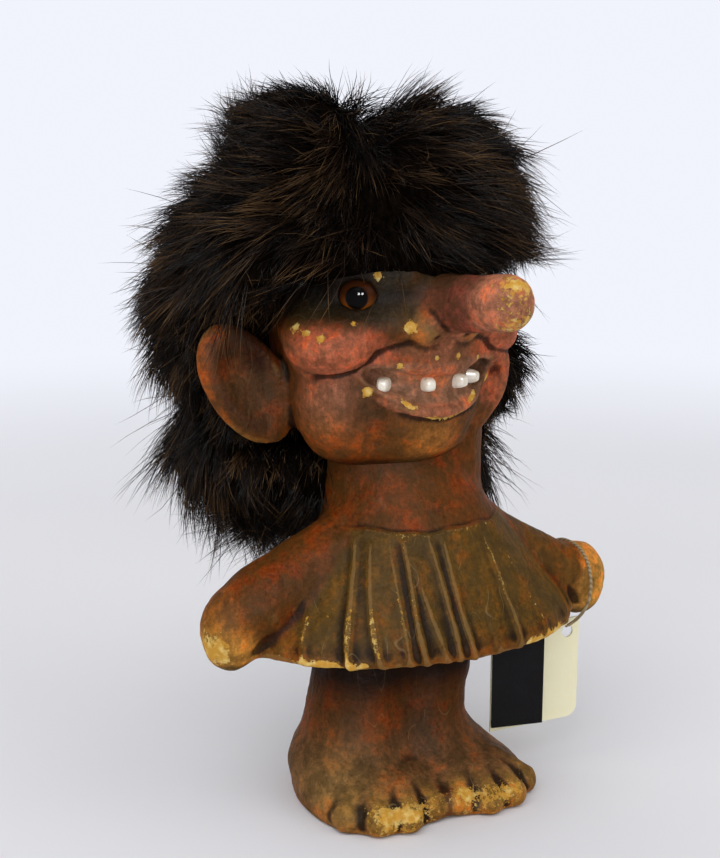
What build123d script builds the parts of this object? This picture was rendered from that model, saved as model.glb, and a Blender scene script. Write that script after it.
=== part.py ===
from build123d import *
import os
from collections import namedtuple
from math import asin, cos, radians, sin, sqrt

os.makedirs("parts", exist_ok=True)

# A standing folk troll in millimetres: +Z is up, it faces -Y, and its left side is at +X.
# The origin is on the floor, under the middle of the dress.

# One level of a form that is lofted through ellipses: its height, middle and half sizes
Level = namedtuple("Level", "height x y half_width half_depth")

# Rubber castings
wall = 3.5
glue_gap = 0.15
seat_gap = 0.1

# Legs and feet: levels between the two legs, and how far each leg stands out from them
sole = Level(0.0, 0.5, 2.5, 16.5, 21.5)
toes = Level(4.0, -0.5, 3.0, 16.2, 20.8)
instep = Level(9.0, -3.0, 6.0, 14.5, 17.0)
shin = Level(15.0, -3.5, 8.5, 13.3, 14.2)
ankle = Level(22.0, -2.5, 9.5, 12.0, 13.4)
knee = Level(30.0, -1.0, 9.5, 11.8, 13.4)
foot_spread = 12.0
instep_spread = 11.0
leg_spread = 8.0
thigh_y = 8.0
toe_radius = 3.4
toe_flat = 0.5
toe_angles = (-30, -5, 20, 45)

# Pour hole in the sole and the plug that closes it
pour_radius = 6.0
pour_x = -1.5
pour_y = 8.0
plug_length = 5.0
plug_recess = 0.5

# Dress, chest and neck
hem = Level(42.0, 0.0, 0.0, 41.0, 26.5)
flare = Level(47.0, 0.0, 0.2, 38.0, 25.5)
hip = Level(55.0, 0.0, 0.6, 31.0, 22.8)
waist = Level(63.0, 0.0, 1.2, 25.0, 20.0)
dress_top = Level(71.0, -0.4, 2.2, 19.5, 17.5)
chest = Level(79.0, -1.7, 4.4, 16.2, 15.4)
neck = Level(87.0, -3.5, 6.5, 13.0, 13.0)
spigot_radius = 10.0
spigot_length = 8.0
neck_bore = 6.0

# Arms and hands, along the sides of the dress
shoulder_inset = 6.5
shoulder_drop = 5.0
shoulder_radius = 6.0
wrist_radius = 6.0
hand_out = 4.7
hand_rise = 5.5
hand_radius = 6.8
hand_half_height = 9.2
hand_turn = -20.0

# Head, in its own frame: X to the troll's left, -Y forward, turned a little to its left
head_x = -5.5
head_y = 9.0
head_yaw = 11.0
head_sink = 2.0
skull_radius = 25.5
skull_half_height = 29.0
muzzle_radius = 17.5
muzzle_drop = 12.0
cheek_radius = 9.5
cheek_proud = 8.0
cheek_azimuth = 60.0
cheek_drop = 4.5
jaw_radius = 12.5
jaw_inset = 13.0
jaw_forward = 7.0
jaw_drop = 19.0
chin_radius = 10.5
chin_inset = 13.5
chin_drop = 21.5
nose_root_radius = 7.0
nose_waist_radius = 5.3
nose_tip_radius = 6.0
nose_length = 31.0
nose_sink = 6.5
nose_rise = 5.0
nose_tilt = 6.0
nose_taper = 0.3
nostril_radius = 3.6
nostril_spread = 5.2
nostril_sink = 1.0
nostril_rise = 1.0

# Ears
ear_radius = 13.0
ear_half_thickness = 3.6
ear_stand = 8.0
ear_back = 3.0
ear_drop = 13.0
ear_turn = 8.0
ear_hollow_radius = 15.0
ear_hollow_floor = 0.2

# Mouth and its peg teeth
mouth_drop = 11.5
mouth_half_arc = 62.0
mouth_groove = 2.4
lip_radius = 1.9
lip_drop = 17.5
lip_half_arc = 52.0
tooth_radius = 1.7
tooth_root = 3.6
tooth_proud = 1.2
tooth_round = 1.0
tooth_angles = (-48, -14, 16, 39)

# Glass eyes on wire shanks
eye_radius = 5.0
eye_sink = 3.1
eye_azimuth = 46.0
eye_rise = 7.6
eye_back = 2.5
eye_wall = 2.5
pupil_radius = 2.1
pupil_depth = 1.2
pupil_gap = 0.03
wire_radius = 0.6
wire_length = 8.0

# Fur wig on a hide backing
pelt_gap = 0.2
pelt_thickness = 1.5
pelt_inset = 4.5
pelt_rise = 14.0
pelt_slope = 56.0
fur_gap = 0.5
fringe_drop = 15.0
fringe_inset = 2.0
ear_line = 9.0
ear_top = -4.0
lobe_gap = 4.0
lock_line = -2.0
fur_depth = 18.5
fur_x = -5.0
fur_back = 13.0
fur_rise = 2.0
locks_depth = 9.5
locks_sag = 2.0
locks_x = -7.0
locks_back = 19.0
locks_rise = 3.0
tuft_radius = 19.5
tuft_x = -18.5
tuft_back = 3.0
tuft_rise = 6.0
crest_depth = 1.5
crest_x = 8.0
crest_forward = 6.0
crest_drop = 4.5

# Swing tag: a thread loop round the left hand, a back leaf and a cover on a fold
thread_radius = 0.4
thread_gap = 0.3
thread_turn = 2.0
thread_clear = 2.3
leaf_thickness = 0.5
leaf_width = 25.2
leaf_height = 26.5
leaf_drop = 5.0
leaf_corner = 3.0
hole_radius = 1.6
hole_inset = 3.4
hole_edge = 3.4
cover_width = 13.4
cover_lift = 1.3
cover_angle = 10.0
fold_gap = 0.3

SIDES = {"left": 1, "right": -1}
UPRIGHT = (Align.CENTER, Align.CENTER, Align.MIN)

head_z = neck.height - head_sink + skull_half_height
head_place = Location((head_x, head_y, head_z), (0, 0, head_yaw))
hand_reach = hem.half_width + hand_out
hand_z = hem.height + hand_rise
muzzle_y = muzzle_radius - skull_radius
cheek_reach = skull_radius + cheek_proud - cheek_radius
cheek_x = cheek_reach * sin(radians(cheek_azimuth))
cheek_y = -cheek_reach * cos(radians(cheek_azimuth))
jaw_x = skull_radius - jaw_inset


def spheroid(radius, half_height):
    """A ball stretched along Z: half an ellipse turned about Z."""
    with BuildPart() as ball:
        with BuildSketch(Plane.XZ):
            with BuildLine():
                EllipticalCenterArc((0, 0), radius, half_height, -90, arc_size=180)
                Line((0, half_height), (0, -half_height))
            make_face()
        revolve(axis=Axis.Z)
    return ball.part


def tower(levels, grow=0):
    """A smooth upright form through a row of ellipses, grown all round and at both ends."""
    bottom, *middle, top = levels
    bottom = bottom._replace(height=bottom.height - grow)
    top = top._replace(height=top.height + grow)
    with BuildPart() as column:
        for level in (bottom, *middle, top):
            with BuildSketch(Plane((level.x, level.y, level.height))):
                Ellipse(level.half_width + grow, level.half_depth + grow)
        loft()
    return column.part


def leg(side):
    """One leg, from the flat sole through the leaning shin to inside the dress."""
    thigh = knee._replace(height=hem.height + wall, x=hem.x, y=thigh_y)
    spreads = {sole: foot_spread, toes: foot_spread, instep: instep_spread}
    return tower([
        level._replace(x=level.x + side * spreads.get(level, leg_spread))
        for level in (sole, toes, instep, shin, ankle, knee, thigh)
    ])


def torso(grow):
    """Flared dress, bare chest and neck."""
    return tower([hem, flare, hip, waist, dress_top, chest, neck], grow)


def arm(side, grow):
    """A tapering arm from inside the chest, with a mitten hand at its end."""
    hand = spheroid(hand_radius + grow, hand_half_height + grow)
    start = Vector(side * (dress_top.half_width - shoulder_inset), 0, dress_top.height - shoulder_drop)
    end = Vector(side * hand_reach, 0, hand_z)
    with BuildPart() as limb:
        for point, radius in ((start, shoulder_radius), (end, wrist_radius)):
            with BuildSketch(Plane(point, z_dir=end - start)):
                Circle(radius + grow)
        loft(ruled=True)
        with Locations(Location(end, (0, 0, 90 * (1 + side) + hand_turn))):
            add(hand)
    return limb.part


def body_form():
    """Outside of the body, with its toes and the spigot on its neck."""
    forms = [torso(0)]
    for side in SIDES.values():
        forms += [leg(side), arm(side, 0)]
    with BuildPart() as body:
        for form in forms:
            add(form)
        for side in SIDES.values():
            for angle in toe_angles:
                out = side * (foot_spread + sole.half_width * sin(radians(angle)))
                front = sole.y - sole.half_depth * cos(radians(angle))
                with Locations((sole.x + out, front, toe_radius - toe_flat)):
                    Sphere(toe_radius)
        with Locations((neck.x, neck.y, neck.height)):
            Cylinder(spigot_radius, spigot_length, align=UPRIGHT)
        split(bisect_by=Plane.XY, keep=Keep.TOP)
    return body.part


def nose():
    """The long nose along Z: a waisted outline turned about its axis."""
    with BuildPart() as trunk:
        with BuildSketch(Plane.XZ):
            with BuildLine():
                Line((0, 0), (nose_root_radius, 0))
                Spline(
                    (nose_root_radius, 0),
                    (nose_waist_radius, 0.5 * nose_length),
                    (nose_tip_radius, nose_length - nose_tip_radius),
                    (0, nose_length),
                    tangents=((-nose_taper, 1), (-1, 0)),
                )
                Line((0, nose_length), (0, 0))
            make_face()
        revolve(axis=Axis.Z)
    return trunk.part


def facing(x, y, z, turn):
    """A place on the head whose Z points forward, turned about the upright by a number of degrees."""
    return Location((x, y, z), (0, 0, turn)) * Location((0, 0, 0), (90, 0, 0))


def ear_place(side):
    """Where an ear stands on the head, facing forward and a little to the side."""
    return facing(side * (skull_radius + ear_stand), ear_back, -ear_drop, side * ear_turn)


def head_form(grow):
    """Outside of the head without its nose, with every surface moved out by grow."""
    skull = spheroid(skull_radius + grow, skull_half_height + grow)
    flap = spheroid(ear_radius + grow, ear_half_thickness + grow)
    with BuildPart() as head:
        add(skull)
        with Locations((0, muzzle_y, -muzzle_drop)):
            Sphere(muzzle_radius + grow)
        with Locations((cheek_x, cheek_y, -cheek_drop), (-cheek_x, cheek_y, -cheek_drop)):
            Sphere(cheek_radius + grow)
        with Locations((jaw_x, -jaw_forward, -jaw_drop), (-jaw_x, -jaw_forward, -jaw_drop)):
            Sphere(jaw_radius + grow)
        with Locations((0, chin_inset - skull_radius, -chin_drop)):
            Sphere(chin_radius + grow)
        with Locations(ear_place(1), ear_place(-1)):
            add(flap)
    return head.part


def eye_place(side):
    """An eye's middle on the head, just inside the skull's surface, with Z along its gaze."""
    reach = skull_radius * sqrt(1 - (eye_rise / skull_half_height) ** 2) - eye_sink
    turn = radians(eye_azimuth)
    return facing(side * reach * sin(turn), -reach * cos(turn), eye_rise, side * eye_azimuth)


def tooth_place(angle):
    """A tooth's root inside the muzzle, with Z outwards."""
    reach = muzzle_radius - tooth_root
    turn = radians(angle)
    return facing(reach * sin(turn), muzzle_y - reach * cos(turn), -mouth_drop, angle)


def head_hollow():
    """Space inside the head, which leaves a boss of rubber behind each eye."""
    space = spheroid(skull_radius - wall, skull_half_height - wall)
    with BuildPart() as hollow:
        add(space)
        with Locations(eye_place(1), eye_place(-1)):
            Sphere(eye_radius + eye_wall, mode=Mode.SUBTRACT)
    return hollow.part


def dress_hollow():
    """Space inside the dress and chest, above the closed hem."""
    space = torso(-wall)
    with BuildPart() as hollow:
        add(space)
        split(bisect_by=Plane.XY.offset(hem.height + wall), keep=Keep.TOP)
    return hollow.part


def face_opening():
    """Space that the wig leaves open: below the fringe and in front of the ears' backs."""
    front = -3 * skull_radius
    floor = -4 * skull_half_height
    fringe_z = skull_half_height - fringe_drop
    with BuildPart() as opening:
        with BuildSketch(Plane.YZ):
            with BuildLine():
                Polyline(
                    (front, fringe_z),
                    (fringe_inset - skull_radius, fringe_z),
                    (ear_line, ear_top),
                    (ear_line, -ear_drop - ear_radius),
                    (lock_line, -ear_drop - ear_radius - lobe_gap),
                    (lock_line, floor),
                    (front, floor),
                    close=True,
                )
            make_face()
        extrude(amount=-front, both=True)
    return opening.part


# Body: hollow legs, dress, chest and arms in one casting, open at the sole and the neck
body_outside = body_form()
dress_inside = dress_hollow()
with BuildPart() as body_casting:
    add(body_outside)
    add(dress_inside, mode=Mode.SUBTRACT)
    with Locations((pour_x, pour_y, 0)):
        Cylinder(pour_radius, hem.height + 2 * wall, align=UPRIGHT, mode=Mode.SUBTRACT)
    with Locations((neck.x, neck.y, dress_top.height)):
        Cylinder(neck_bore, neck.height + spigot_length - dress_top.height, align=UPRIGHT, mode=Mode.SUBTRACT)
body_casting.part.label = "body_casting"
export_step(body_casting.part, "parts/body_casting.step")

# Plug glued into the pour hole, a little above the floor
with BuildPart() as sole_plug:
    with Locations((pour_x, pour_y, plug_recess)):
        Cylinder(pour_radius - seat_gap, plug_length, align=UPRIGHT)
sole_plug.part.label = "sole_plug"
export_step(sole_plug.part, "parts/sole_plug.step")

# Head: hollow skull with nose, ears, lips, eye sockets and tooth holes, seated on the neck
head_outside = head_form(0)
head_inside = head_hollow()
nose_trunk = nose()
neck_outside = torso(glue_gap)
ear_scoop = Location((0, 0, ear_hollow_radius + ear_hollow_floor))
lip_arc_radius = sqrt(muzzle_radius**2 - (lip_drop - muzzle_drop) ** 2)
with BuildPart() as head_casting:
    with Locations(head_place):
        add(head_outside)
        with Locations(Location((0, nose_sink - skull_radius, nose_rise), (90 - nose_tilt, 0, 0))):
            add(nose_trunk)
        with Locations((nostril_spread, nostril_sink - skull_radius, nostril_rise),
                       (-nostril_spread, nostril_sink - skull_radius, nostril_rise)):
            Sphere(nostril_radius)
        with Locations(Location((0, muzzle_y, -lip_drop), (0, 0, -90 - lip_half_arc))):
            Torus(lip_arc_radius, lip_radius, major_angle=2 * lip_half_arc)
        with Locations(Location((0, muzzle_y, -mouth_drop), (0, 0, -90 - mouth_half_arc))):
            Torus(muzzle_radius, mouth_groove, major_angle=2 * mouth_half_arc, mode=Mode.SUBTRACT)
        with Locations(ear_place(1) * ear_scoop, ear_place(-1) * ear_scoop):
            Sphere(ear_hollow_radius, mode=Mode.SUBTRACT)
        add(head_inside, mode=Mode.SUBTRACT)
        with Locations(eye_place(1), eye_place(-1)):
            Sphere(eye_radius + seat_gap, mode=Mode.SUBTRACT)
            with Locations((0, 0, -eye_back - wire_length)):
                Cylinder(wire_radius + seat_gap, wire_length, align=UPRIGHT, mode=Mode.SUBTRACT)
        with Locations(*[tooth_place(angle) for angle in tooth_angles]):
            Cylinder(tooth_radius + seat_gap, 2 * tooth_root, align=UPRIGHT, mode=Mode.SUBTRACT)
    add(neck_outside, mode=Mode.SUBTRACT)
    with Locations((neck.x, neck.y, neck.height)):
        Cylinder(spigot_radius + glue_gap, spigot_length + wall, align=UPRIGHT, mode=Mode.SUBTRACT)
head_casting.part.label = "head_casting"
export_step(head_casting.part, "parts/head_casting.step")

# Glass eyes: a dome with a flat back, a black pupil let into its front, and a wire behind
for name, side in SIDES.items():
    with BuildPart() as eye_glass:
        with Locations(head_place * eye_place(side)):
            Sphere(eye_radius)
            with Locations((0, 0, -eye_back)):
                Cylinder(eye_radius, eye_radius, align=(Align.CENTER, Align.CENTER, Align.MAX),
                         mode=Mode.SUBTRACT)
            with Locations((0, 0, eye_radius - pupil_depth)):
                Cylinder(pupil_radius, eye_radius, align=UPRIGHT, mode=Mode.SUBTRACT)
    eye_glass.part.label = f"eye_glass_{name}"
    export_step(eye_glass.part, f"parts/eye_glass_{name}.step")

    with BuildPart() as eye_pupil:
        with Locations(head_place * eye_place(side)):
            Sphere(eye_radius)
            with Locations((0, 0, eye_radius - pupil_depth)):
                Cylinder(pupil_radius - pupil_gap, eye_radius, align=UPRIGHT, mode=Mode.INTERSECT)
    eye_pupil.part.label = f"eye_pupil_{name}"
    export_step(eye_pupil.part, f"parts/eye_pupil_{name}.step")

    with BuildPart() as eye_wire:
        with Locations(head_place * eye_place(side) * Location((0, 0, -eye_back - wire_length))):
            Cylinder(wire_radius, wire_length, align=UPRIGHT)
    eye_wire.part.label = f"eye_wire_{name}"
    export_step(eye_wire.part, f"parts/eye_wire_{name}.step")

# Peg teeth with rounded ends, glued into holes in the mouth's groove
for number, angle in enumerate(tooth_angles, start=1):
    with BuildPart() as tooth:
        with Locations(head_place * tooth_place(angle)):
            Cylinder(tooth_radius, tooth_root + tooth_proud, align=UPRIGHT)
        fillet(tooth.edges(), tooth_round)
    tooth.part.label = f"tooth_{number}"
    export_step(tooth.part, f"parts/tooth_{number}.step")

# Hide backing of the wig: a cap over the skull, open at the face and cut round the ears
pelt_grow = pelt_gap + pelt_thickness
pelt_outside = spheroid(skull_radius + pelt_grow, skull_half_height + pelt_grow)
pelt_seat = head_form(pelt_gap)
pelt_edge = head_place * Location((0, pelt_inset - skull_radius, pelt_rise), (-90 + pelt_slope, 0, 0))
with BuildPart() as wig_pelt:
    with Locations(head_place):
        add(pelt_outside)
        add(pelt_seat, mode=Mode.SUBTRACT)
        with Locations(eye_place(1), eye_place(-1)):
            Sphere(eye_radius + pelt_gap, mode=Mode.SUBTRACT)
    add(neck_outside, mode=Mode.SUBTRACT)
    split(bisect_by=Plane(pelt_edge), keep=Keep.TOP)
wig_pelt.part.label = "wig_pelt"
export_step(wig_pelt.part, "parts/wig_pelt.step")

# Fur: a mass with two crests, from the fringe over the crown to the locks behind the shoulders
fur_locks = spheroid(skull_radius + locks_depth, skull_half_height + locks_sag)
fur_seat = head_form(pelt_grow + seat_gap)
fur_body = [torso(fur_gap), arm(1, fur_gap), arm(-1, fur_gap)]
face_space = face_opening()
with BuildPart() as wig_fur:
    with Locations(head_place):
        with Locations((fur_x, fur_back, fur_rise)):
            Sphere(skull_radius + fur_depth, rotation=(90, 0, 0))
        with Locations((locks_x, locks_back, locks_rise - skull_half_height)):
            add(fur_locks)
        with Locations((tuft_x, tuft_back, skull_half_height + tuft_rise)):
            Sphere(tuft_radius)
        with Locations((crest_x, -crest_forward, skull_half_height - crest_drop)):
            Sphere(skull_radius + crest_depth)
        add(face_space, mode=Mode.SUBTRACT)
        add(fur_seat, mode=Mode.SUBTRACT)
    for form in fur_body:
        add(form, mode=Mode.SUBTRACT)
wig_fur.part.label = "wig_fur"
export_step(wig_fur.part, "parts/wig_fur.step")

# Thread of the tag: a loop over the left hand, drawn together through the hole in the back leaf
thread_x = hem.half_width + thread_clear
hand_offset = hand_out - thread_clear - thread_radius
hand_section = hand_half_height * sqrt(1 - (hand_offset / hand_radius) ** 2)
loop_radius = hand_section + thread_gap + thread_radius
leaf_top = hem.height - leaf_drop
hole_z = leaf_top - hole_inset
thread_low = hole_z + hole_radius - thread_radius - seat_gap
turn_z = thread_low + thread_turn
slope = asin((loop_radius - thread_turn) / (hand_z - turn_z))
high_y = loop_radius * cos(slope)
high_z = hand_z - loop_radius * sin(slope)
low_y = thread_turn * cos(slope)
low_z = turn_z - thread_turn * sin(slope)
with BuildPart() as tag_thread:
    with BuildLine(Plane.YZ.offset(thread_x)) as thread_path:
        ThreePointArc((-high_y, high_z), (0, hand_z + loop_radius), (high_y, high_z))
        Line((high_y, high_z), (low_y, low_z))
        ThreePointArc((low_y, low_z), (0, thread_low), (-low_y, low_z))
        Line((-low_y, low_z), (-high_y, high_z))
    with BuildSketch(Plane((thread_x, 0, hand_z + loop_radius), z_dir=(0, 1, 0))):
        Circle(thread_radius)
    sweep(path=thread_path.line)
tag_thread.part.label = "tag_thread"
export_step(tag_thread.part, "parts/tag_thread.step")

# Back leaf of the tag: its hole takes the thread, and its lower free corner is round
fold_x = thread_x + hole_edge - leaf_width
with BuildPart() as tag_back_leaf:
    with BuildSketch(Plane.XZ) as leaf_face:
        with Locations((fold_x, leaf_top)):
            Rectangle(leaf_width, leaf_height, align=(Align.MIN, Align.MAX))
        fillet(leaf_face.vertices().group_by(Axis.Y)[0].sort_by(Axis.X)[-1], leaf_corner)
        with Locations((thread_x, hole_z)):
            Circle(hole_radius, mode=Mode.SUBTRACT)
    extrude(amount=leaf_thickness / 2, both=True)
tag_back_leaf.part.label = "tag_back_leaf"
export_step(tag_back_leaf.part, "parts/tag_back_leaf.step")

# Narrower cover of the tag, a little open on its upright fold
cover_height = leaf_height - cover_lift
fold_plane = Plane((fold_x, -leaf_thickness / 2 - fold_gap, leaf_top), x_dir=(1, 0, 0))
with BuildPart(fold_plane.rotated((0, 0, -cover_angle))) as tag_cover_leaf:
    Box(cover_width, leaf_thickness, cover_height, align=(Align.MIN, Align.MAX, Align.MAX))
tag_cover_leaf.part.label = "tag_cover_leaf"
export_step(tag_cover_leaf.part, "parts/tag_cover_leaf.step")
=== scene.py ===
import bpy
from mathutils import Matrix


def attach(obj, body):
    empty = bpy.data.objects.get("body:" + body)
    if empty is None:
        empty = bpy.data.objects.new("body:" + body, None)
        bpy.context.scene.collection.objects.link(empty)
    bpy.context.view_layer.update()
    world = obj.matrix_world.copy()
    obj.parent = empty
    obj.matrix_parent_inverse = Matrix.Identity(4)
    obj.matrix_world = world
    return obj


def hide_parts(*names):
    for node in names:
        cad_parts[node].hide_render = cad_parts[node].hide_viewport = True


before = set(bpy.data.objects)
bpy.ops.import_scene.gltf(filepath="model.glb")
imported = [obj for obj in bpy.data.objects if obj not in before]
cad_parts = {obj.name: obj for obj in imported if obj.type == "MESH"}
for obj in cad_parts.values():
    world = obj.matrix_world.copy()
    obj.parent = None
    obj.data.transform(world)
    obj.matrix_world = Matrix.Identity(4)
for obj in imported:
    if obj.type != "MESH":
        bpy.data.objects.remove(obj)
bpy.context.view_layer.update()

from itertools import product
from math import cos, radians, sin
from types import SimpleNamespace

import bpy
import numpy as np
from bpy.props import FloatProperty, FloatVectorProperty, IntProperty, PointerProperty
from mathutils import Vector

bl_info = {
    "name": "Folk troll figure",
    "version": (1, 0, 0),
    "blender": (4, 5, 0),
    "location": "View3D > Sidebar > Troll",
    "description": "Sculpts, paints and furs a folk troll round its packed solids",
    "category": "Object",
}

MM = 0.001
LEFT, RIGHT = 1, -1
SIDES = {"left": LEFT, "right": RIGHT}
UP = np.array([0.0, 0.0, 1.0])

# The head's own frame, in millimetres: X to the troll's left, -Y forward, Z up from its middle
HEAD_MIDDLE = np.array([-5.5, 9.0, 114.0])
HEAD_YAW = radians(11.0)

# Levels of the dress, chest and neck: height, middle x and y, half width and half depth
TORSO = np.array([
    (42.0, 0.0, 0.0, 41.0, 26.5),
    (47.0, 0.0, 0.2, 38.0, 25.5),
    (55.0, 0.0, 0.6, 31.0, 22.8),
    (63.0, 0.0, 1.2, 25.0, 20.0),
    (71.0, -0.4, 2.2, 19.5, 17.5),
    (79.0, -1.7, 4.4, 16.2, 15.4),
    (87.0, -3.5, 6.5, 13.0, 13.0),
])
# Heights of the hem, of the dress's upper edge and of the neck's end inside the head
HEM, DRESS_TOP, NECK_TOP = 42.0, 69.5, 104.0
# Neck: its lower and upper end and their radii
NECK = (-3.5, 6.5, 80.0), (-3.8, 6.8, 86.0), 12.0, 11.8

# Levels of one leg, with how far its middle stands out to its side as the last number
LEG = np.array([
    (0.0, 0.5, 2.5, 16.5, 21.5, 12.0),
    (4.0, -0.5, 3.0, 16.2, 20.8, 12.0),
    (9.0, -3.0, 6.0, 14.5, 17.0, 11.0),
    (15.0, -3.5, 8.5, 13.3, 14.2, 8.0),
    (22.0, -2.5, 9.5, 12.0, 13.4, 8.0),
    (30.0, -1.0, 9.5, 11.8, 13.4, 8.0),
    (45.5, 0.0, 8.0, 11.8, 13.4, 8.0),
])
# Left instep: middle and half sizes; and the place on the shin that the toes point back to
INSTEP, INSTEP_HALF, SHIN = (11.5, -5.0, 2.0), (14.6, 13.6, 8.2), (9.0, 2.0, 10.0)
# Tips of the toes: middle between the feet, how far out a foot lies, and reach of a tip aside, ahead and up
SOLE_X, SOLE_Y, FOOT_OUT, TOE_SPREAD, TOE_REACH, TOE_LIFT = 0.5, 2.5, 12.0, 15.8, 20.8, 2.9
TOE_ANGLES = (-30.0, -5.0, 20.0, 45.0)
# Radius of a toe at its tip and at its back, and its length
TOE_TIP, TOE_BACK, TOE_LENGTH = 3.5, 4.4, 8.0

# Left hand: middle and half sizes
HAND, HAND_HALF = (45.7, 0.0, 47.5), (6.8, 6.8, 9.2)
# Arms: shoulder, wrist and their radii; the right one is the thicker
ARMS = {
    LEFT: ((13.0, 1.0, 65.5), (38.0, 0.0, 50.8), 6.4, 7.2),
    RIGHT: ((-12.0, 1.0, 67.5), (-38.5, 0.0, 53.0), 7.0, 8.6),
}
# Pour hole in the sole
POUR_X, POUR_Y, POUR_RADIUS, POUR_DEPTH = -1.5, 8.0, 6.0, 5.5
# Widths of the body's fillets and rounded edges
BODY_FILLET = SimpleNamespace(
    hem=2.2, neck=4.0, arm=3.5, instep=3.5, toe=1.3, groove=6.0, legs=2.0, sole=0.8, neck_top=4.0, pour=0.4,
)

# Pleats of the dress: the angle of each ridge at the top and at the hem, from the front to the left
PLEATS = (
    (-112, -104), (-95, -86), (-80, -68), (-64, -50), (-52, -39), (-40.6, -28.5), (-33.4, -18.5),
    (-27.4, -10.5), (-16, -3), (-5.4, 5), (9, 17), (26, 32), (44, 48), (62, 64), (80, 80), (97, 96),
    (114, 112), (131, 129), (148, 146), (165, 163), (182, 180), (199, 197), (216, 214), (233, 234),
)

# Ridges of the pleats: height and how it varies, share of it on the loose left side, width and growth down
PLEAT_HEIGHT, PLEAT_VARIES, PLEAT_LOOSE, PLEAT_WIDTH, PLEAT_FLARE = 0.75, 0.35, 0.55, 0.52, 0.36
# Grooves beside them: share of the ridge's height, and place and width at the top and how they grow down
GROOVE_SHARE, GROOVE_PLACE, GROOVE_SHIFT, GROOVE_WIDTH, GROOVE_FLARE = 0.45, 1.7, 1.0, 1.3, 1.2
# How many degrees a ridge wanders, step from one ridge's phase to the next, and thickness of the cloth
PLEAT_WANDER, PLEAT_PHASE, CLOTH = 1.6, 2.4, 0.5

# Forms of the head in its own frame: middle and radius or half sizes; of a pair, the left one
SKULL_HALF = (25.5, 25.5, 29.0)
MUZZLE, MUZZLE_RADIUS = (0.0, -8.0, -12.0), 17.5
JAW, JAW_RADIUS = (12.5, -7.0, -18.8), 12.3
JOWL, JOWL_HALF = (17.0, -9.0, -13.5), (7.4, 8.4, 9.0)
# The left jowl is the fuller one
LEFT_JOWL, LEFT_JOWL_HALF = (19.5, -12.0, -11.0), (7.6, 8.0, 10.0)
CHIN, CHIN_HALF = (0.0, -13.2, -22.0), (11.5, 9.4, 8.4)
# Brow: its inner and outer end and their radii
BROW = (8.0, -21.8, 12.6), (19.0, -13.4, 13.6), 2.6, 2.2
# Cheek: place and azimuth of its own frame, middle and half sizes in it; and the wedge from it to the nose
CHEEK_PLACE, CHEEK_AZIMUTH = (20.3, -12.0), 58.0
CHEEK, CHEEK_HALF = (0.0, 1.0, -3.3), (9.2, 10.0, 6.2)
CHEEK_WEDGE = (21.0, -16.6, -2.0), (11.6, -21.8, 1.6), 4.6, 2.2
# Width of the fold under the cheek by the mouth, and how much it widens upwards and towards the ear
FOLD, FOLD_ABOVE, FOLD_BESIDE = 0.7, 6.0, 4.5
# Valley from the mouth's corner down to the jaw, and its radius
LAUGH_LINE = ((20.2, -21.6, -12.0), (18.0, -22.4, -17.7), (15.2, -21.0, -25.0))
LAUGH_RADIUS = 3.6
# Lips: height at middle and corners, half arc, thickness at middle and corners, and how far out they stand
UPPER_LIP = (-8.3, -6.2, 54.0, 1.0, 0.55, -0.2)
LOWER_LIP = (-17.7, -13.6, 56.0, 1.35, 0.6, 0.3)
# Edges of the lips that are worn, in the same way
UPPER_EDGE = (-7.6, -5.6, 40.0, 0.5, 0.2, 0.3)
LOWER_EDGE = (-18.7, -14.8, 34.0, 0.5, 0.2, 0.6)
# Band of the mouth: height at the middle and rise to the corners, half arc of the rise and of the band
MOUTH_Z, MOUTH_RISE, MOUTH_ARC, MOUTH_END = -12.4, 3.6, 60.0, 56.0
# Its roll: how far out of the muzzle, half depth, half height and loss to the corners, and length of its ends
MOUTH_OUT, MOUTH_DEEP, MOUTH_TALL, MOUTH_TAPER, MOUTH_FADE = 0.8, 2.3, 4.1, 2.8, 1.5
# Mean half size that turns its shares into millimetres
MOUTH_MEAN = 1.6
# Nose: root, waist and tip with their radii; wing and nostril
NOSE_ROOT, NOSE_WAIST, NOSE_TIP = (0.0, -17.0, 5.0), (0.0, -33.5, 6.5), (0.0, -44.0, 7.6)
ROOT_RADIUS, WAIST_RADIUS, TIP_RADIUS = 7.4, 5.6, 6.0
WING, WING_HALF = (5.6, -24.6, 1.2), (3.6, 4.4, 3.4)
NOSTRIL, NOSTRIL_RADIUS = (4.2, -28.4, -1.9), 1.4
# Eyes: azimuth, height over the head's middle, distance from its axis, and radius
EYE_AZIMUTH, EYE_RISE, EYE_REACH, EYE_RADIUS = 46.0, 7.6, 21.5, 5.0
# Lids: how far ahead their ring lies, its radius, half thickness and growth above; and gap round the glass
LID_AHEAD, LID_RADIUS, LID_THICK, LID_ABOVE, EYE_GAP = 1.5, 5.0, 0.95, 0.5, 0.12
# Teeth: azimuths about the muzzle's axis, distances of their roots and tips from it, and height
TOOTH_ANGLES, TOOTH_ROOT, TOOTH_TIP, TOOTH_Z = (-48.0, -14.0, 16.0, 39.0), 13.9, 18.7, -11.5
# Their half width and how it varies, height beside width, and powers of the square outline and of the dome
TOOTH_HALF, TOOTH_VARIES, TOOTH_TALL, TOOTH_SQUARE, TOOTH_DOME = 1.62, 0.10, 1.08, 3.2, 0.45
# Ear: middle, half sizes, turn and lean; and the hollow in its front
EAR_MIDDLE, EAR_HALF, EAR_TURN, EAR_LEAN = (33.5, 3.0, -12.4), (9.0, 3.4, 15.4), 8.0, 34.0
EAR_HOLLOW, EAR_HOLLOW_HALF = (-0.8, -4.4, 0.4), (7.0, 3.8, 12.8)
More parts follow.
